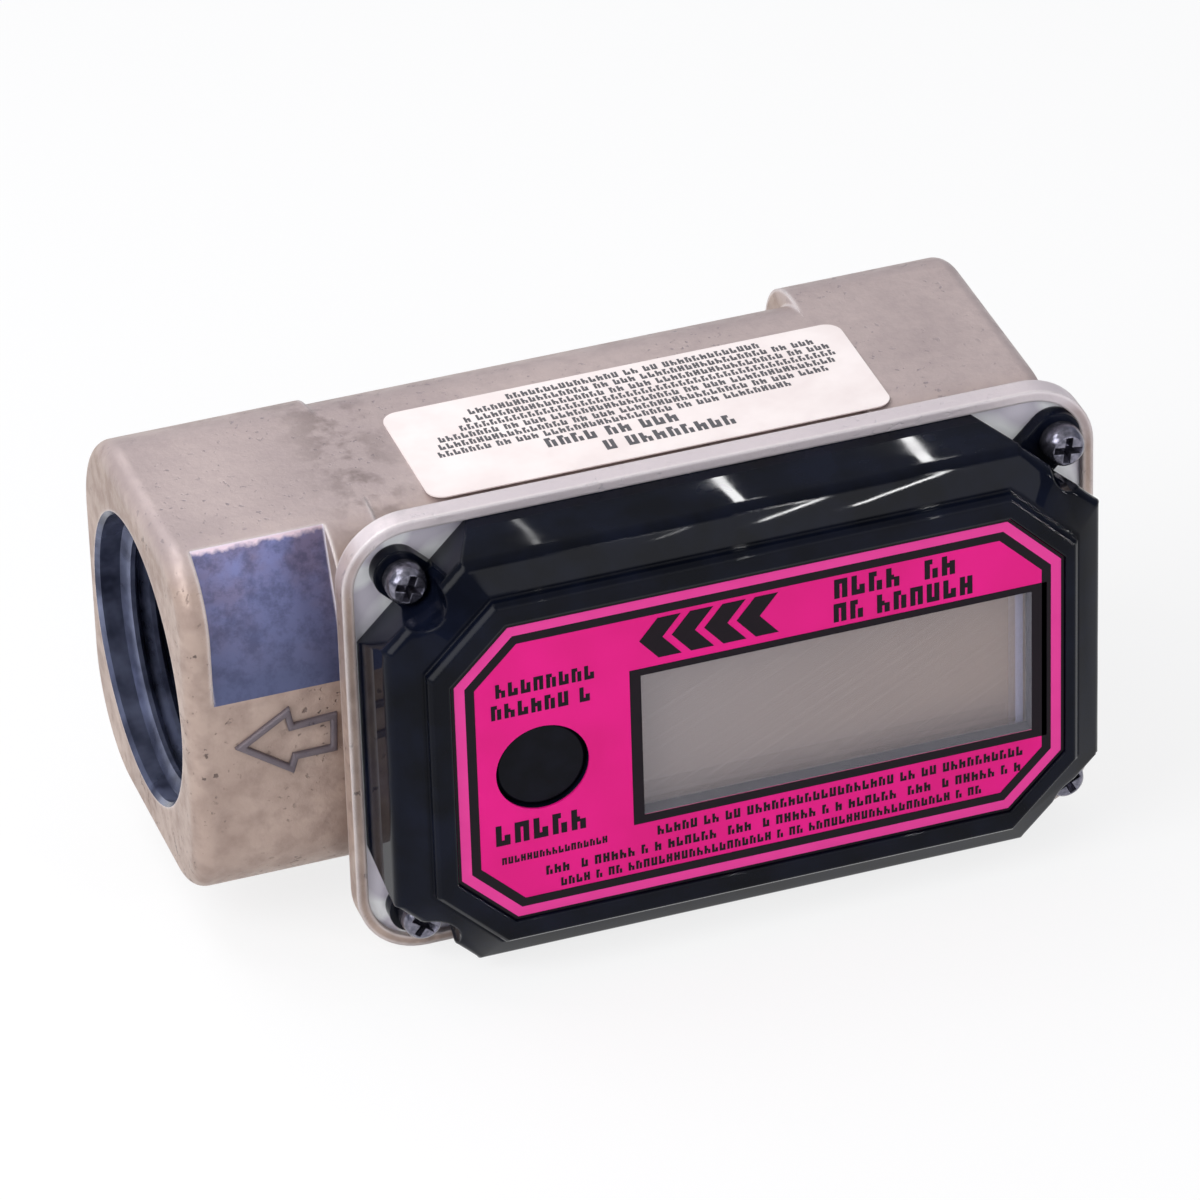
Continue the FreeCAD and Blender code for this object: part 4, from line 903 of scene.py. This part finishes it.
def make_sky():
    """A plain room light, cooler from below than from above."""
    world = bpy.data.worlds.new("studio")
    bpy.context.scene.world = world
    world.use_nodes = True
    nodes = world.node_tree.nodes
    links = world.node_tree.links
    nodes.clear()
    room = nodes.new("ShaderNodeBackground")
    room.inputs["Strength"].default_value = 0.6
    place = nodes.new("ShaderNodeTexCoord")
    parts = nodes.new("ShaderNodeSeparateXYZ")
    links.new(place.outputs["Generated"], parts.inputs[0])
    rise = nodes.new("ShaderNodeMapRange")
    rise.inputs["From Min"].default_value = 0.1
    rise.inputs["From Max"].default_value = 0.9
    links.new(parts.outputs["Z"], rise.inputs["Value"])
    sky = nodes.new("ShaderNodeMix")
    sky.data_type = "RGBA"
    sky.inputs["A"].default_value = (0.42, 0.46, 0.60, 1)
    sky.inputs["B"].default_value = (1.0, 1.0, 1.0, 1)
    links.new(rise.outputs["Result"], sky.inputs["Factor"])
    links.new(sky.outputs["Result"], room.inputs["Color"])
    output = nodes.new("ShaderNodeOutputWorld")
    links.new(room.outputs[0], output.inputs["Surface"])


def make_lights():
    """Soft boxes for the casting, strips for the gloss of the cover, and the room."""
    aim = Vector((MID_LENGTH, 0, 0))
    make_lamp("key_light", aim, (-1.1, -0.45, 0.9), 0.6, 0.4, 0.4, 2.3)
    make_lamp("front_light", aim, (0.5, -1.0, 0.35), 1.0, 0.6, 0.5, 1.9)
    boss = Vector((BODY_LOW.x + 12 * MM, 0, BODY_HIGH.z))
    make_lamp("boss_light", boss, (-0.4, 0.3, 1.0), 0.25, 0.12, 0.12, 0.2)
    make_lamp("back_light", aim, (-0.3, 0.9, 0.9), 1.0, 0.6, 0.5, 1.3)
    make_cover_lights()
    make_sky()


def make_camera():
    """A long lens from the upper left, with the meter lying slightly turned in the view."""
    azimuth = math.radians(-18.107)
    elevation = math.radians(33.082)
    roll = math.radians(-1.871)
    distance = 1.0
    aside = 2.418 * MM
    above = -3.887 * MM
    back = Vector((math.sin(azimuth) * math.cos(elevation), -math.cos(azimuth) * math.cos(elevation),
                   math.sin(elevation)))
    level = Vector((math.cos(azimuth), math.sin(azimuth), 0))
    upright = back.cross(level)
    right = math.cos(roll) * level + math.sin(roll) * upright
    up = back.cross(right)
    place = Vector((MID_LENGTH, 0, 0)) + right * aside + up * above + back * distance
    lens = bpy.data.cameras.new("camera")
    lens.sensor_width = 36.0
    lens.lens = 262.19
    lens.clip_start = 0.01
    lens.clip_end = 20.0
    camera = bpy.data.objects.new("camera", lens)
    bpy.context.scene.collection.objects.link(camera)
    camera.matrix_world = Matrix.Translation(place) @ Matrix((right, up, back)).transposed().to_4x4()
    bpy.context.scene.camera = camera


make_camera()
make_stage()
make_lights()
bpy.context.scene.view_settings.view_transform = "Standard"
dress_parts()
make_casting()
make_thread("outlet_thread", BODY_LOW.x, 1)
make_thread("inlet_thread", BODY_HIGH.x, -1)
make_flow_arrow()
make_cover()
make_overlay_print()
make_window_print()
make_face_words()
make_face_emblem()
make_cover_screws()
make_label_print()
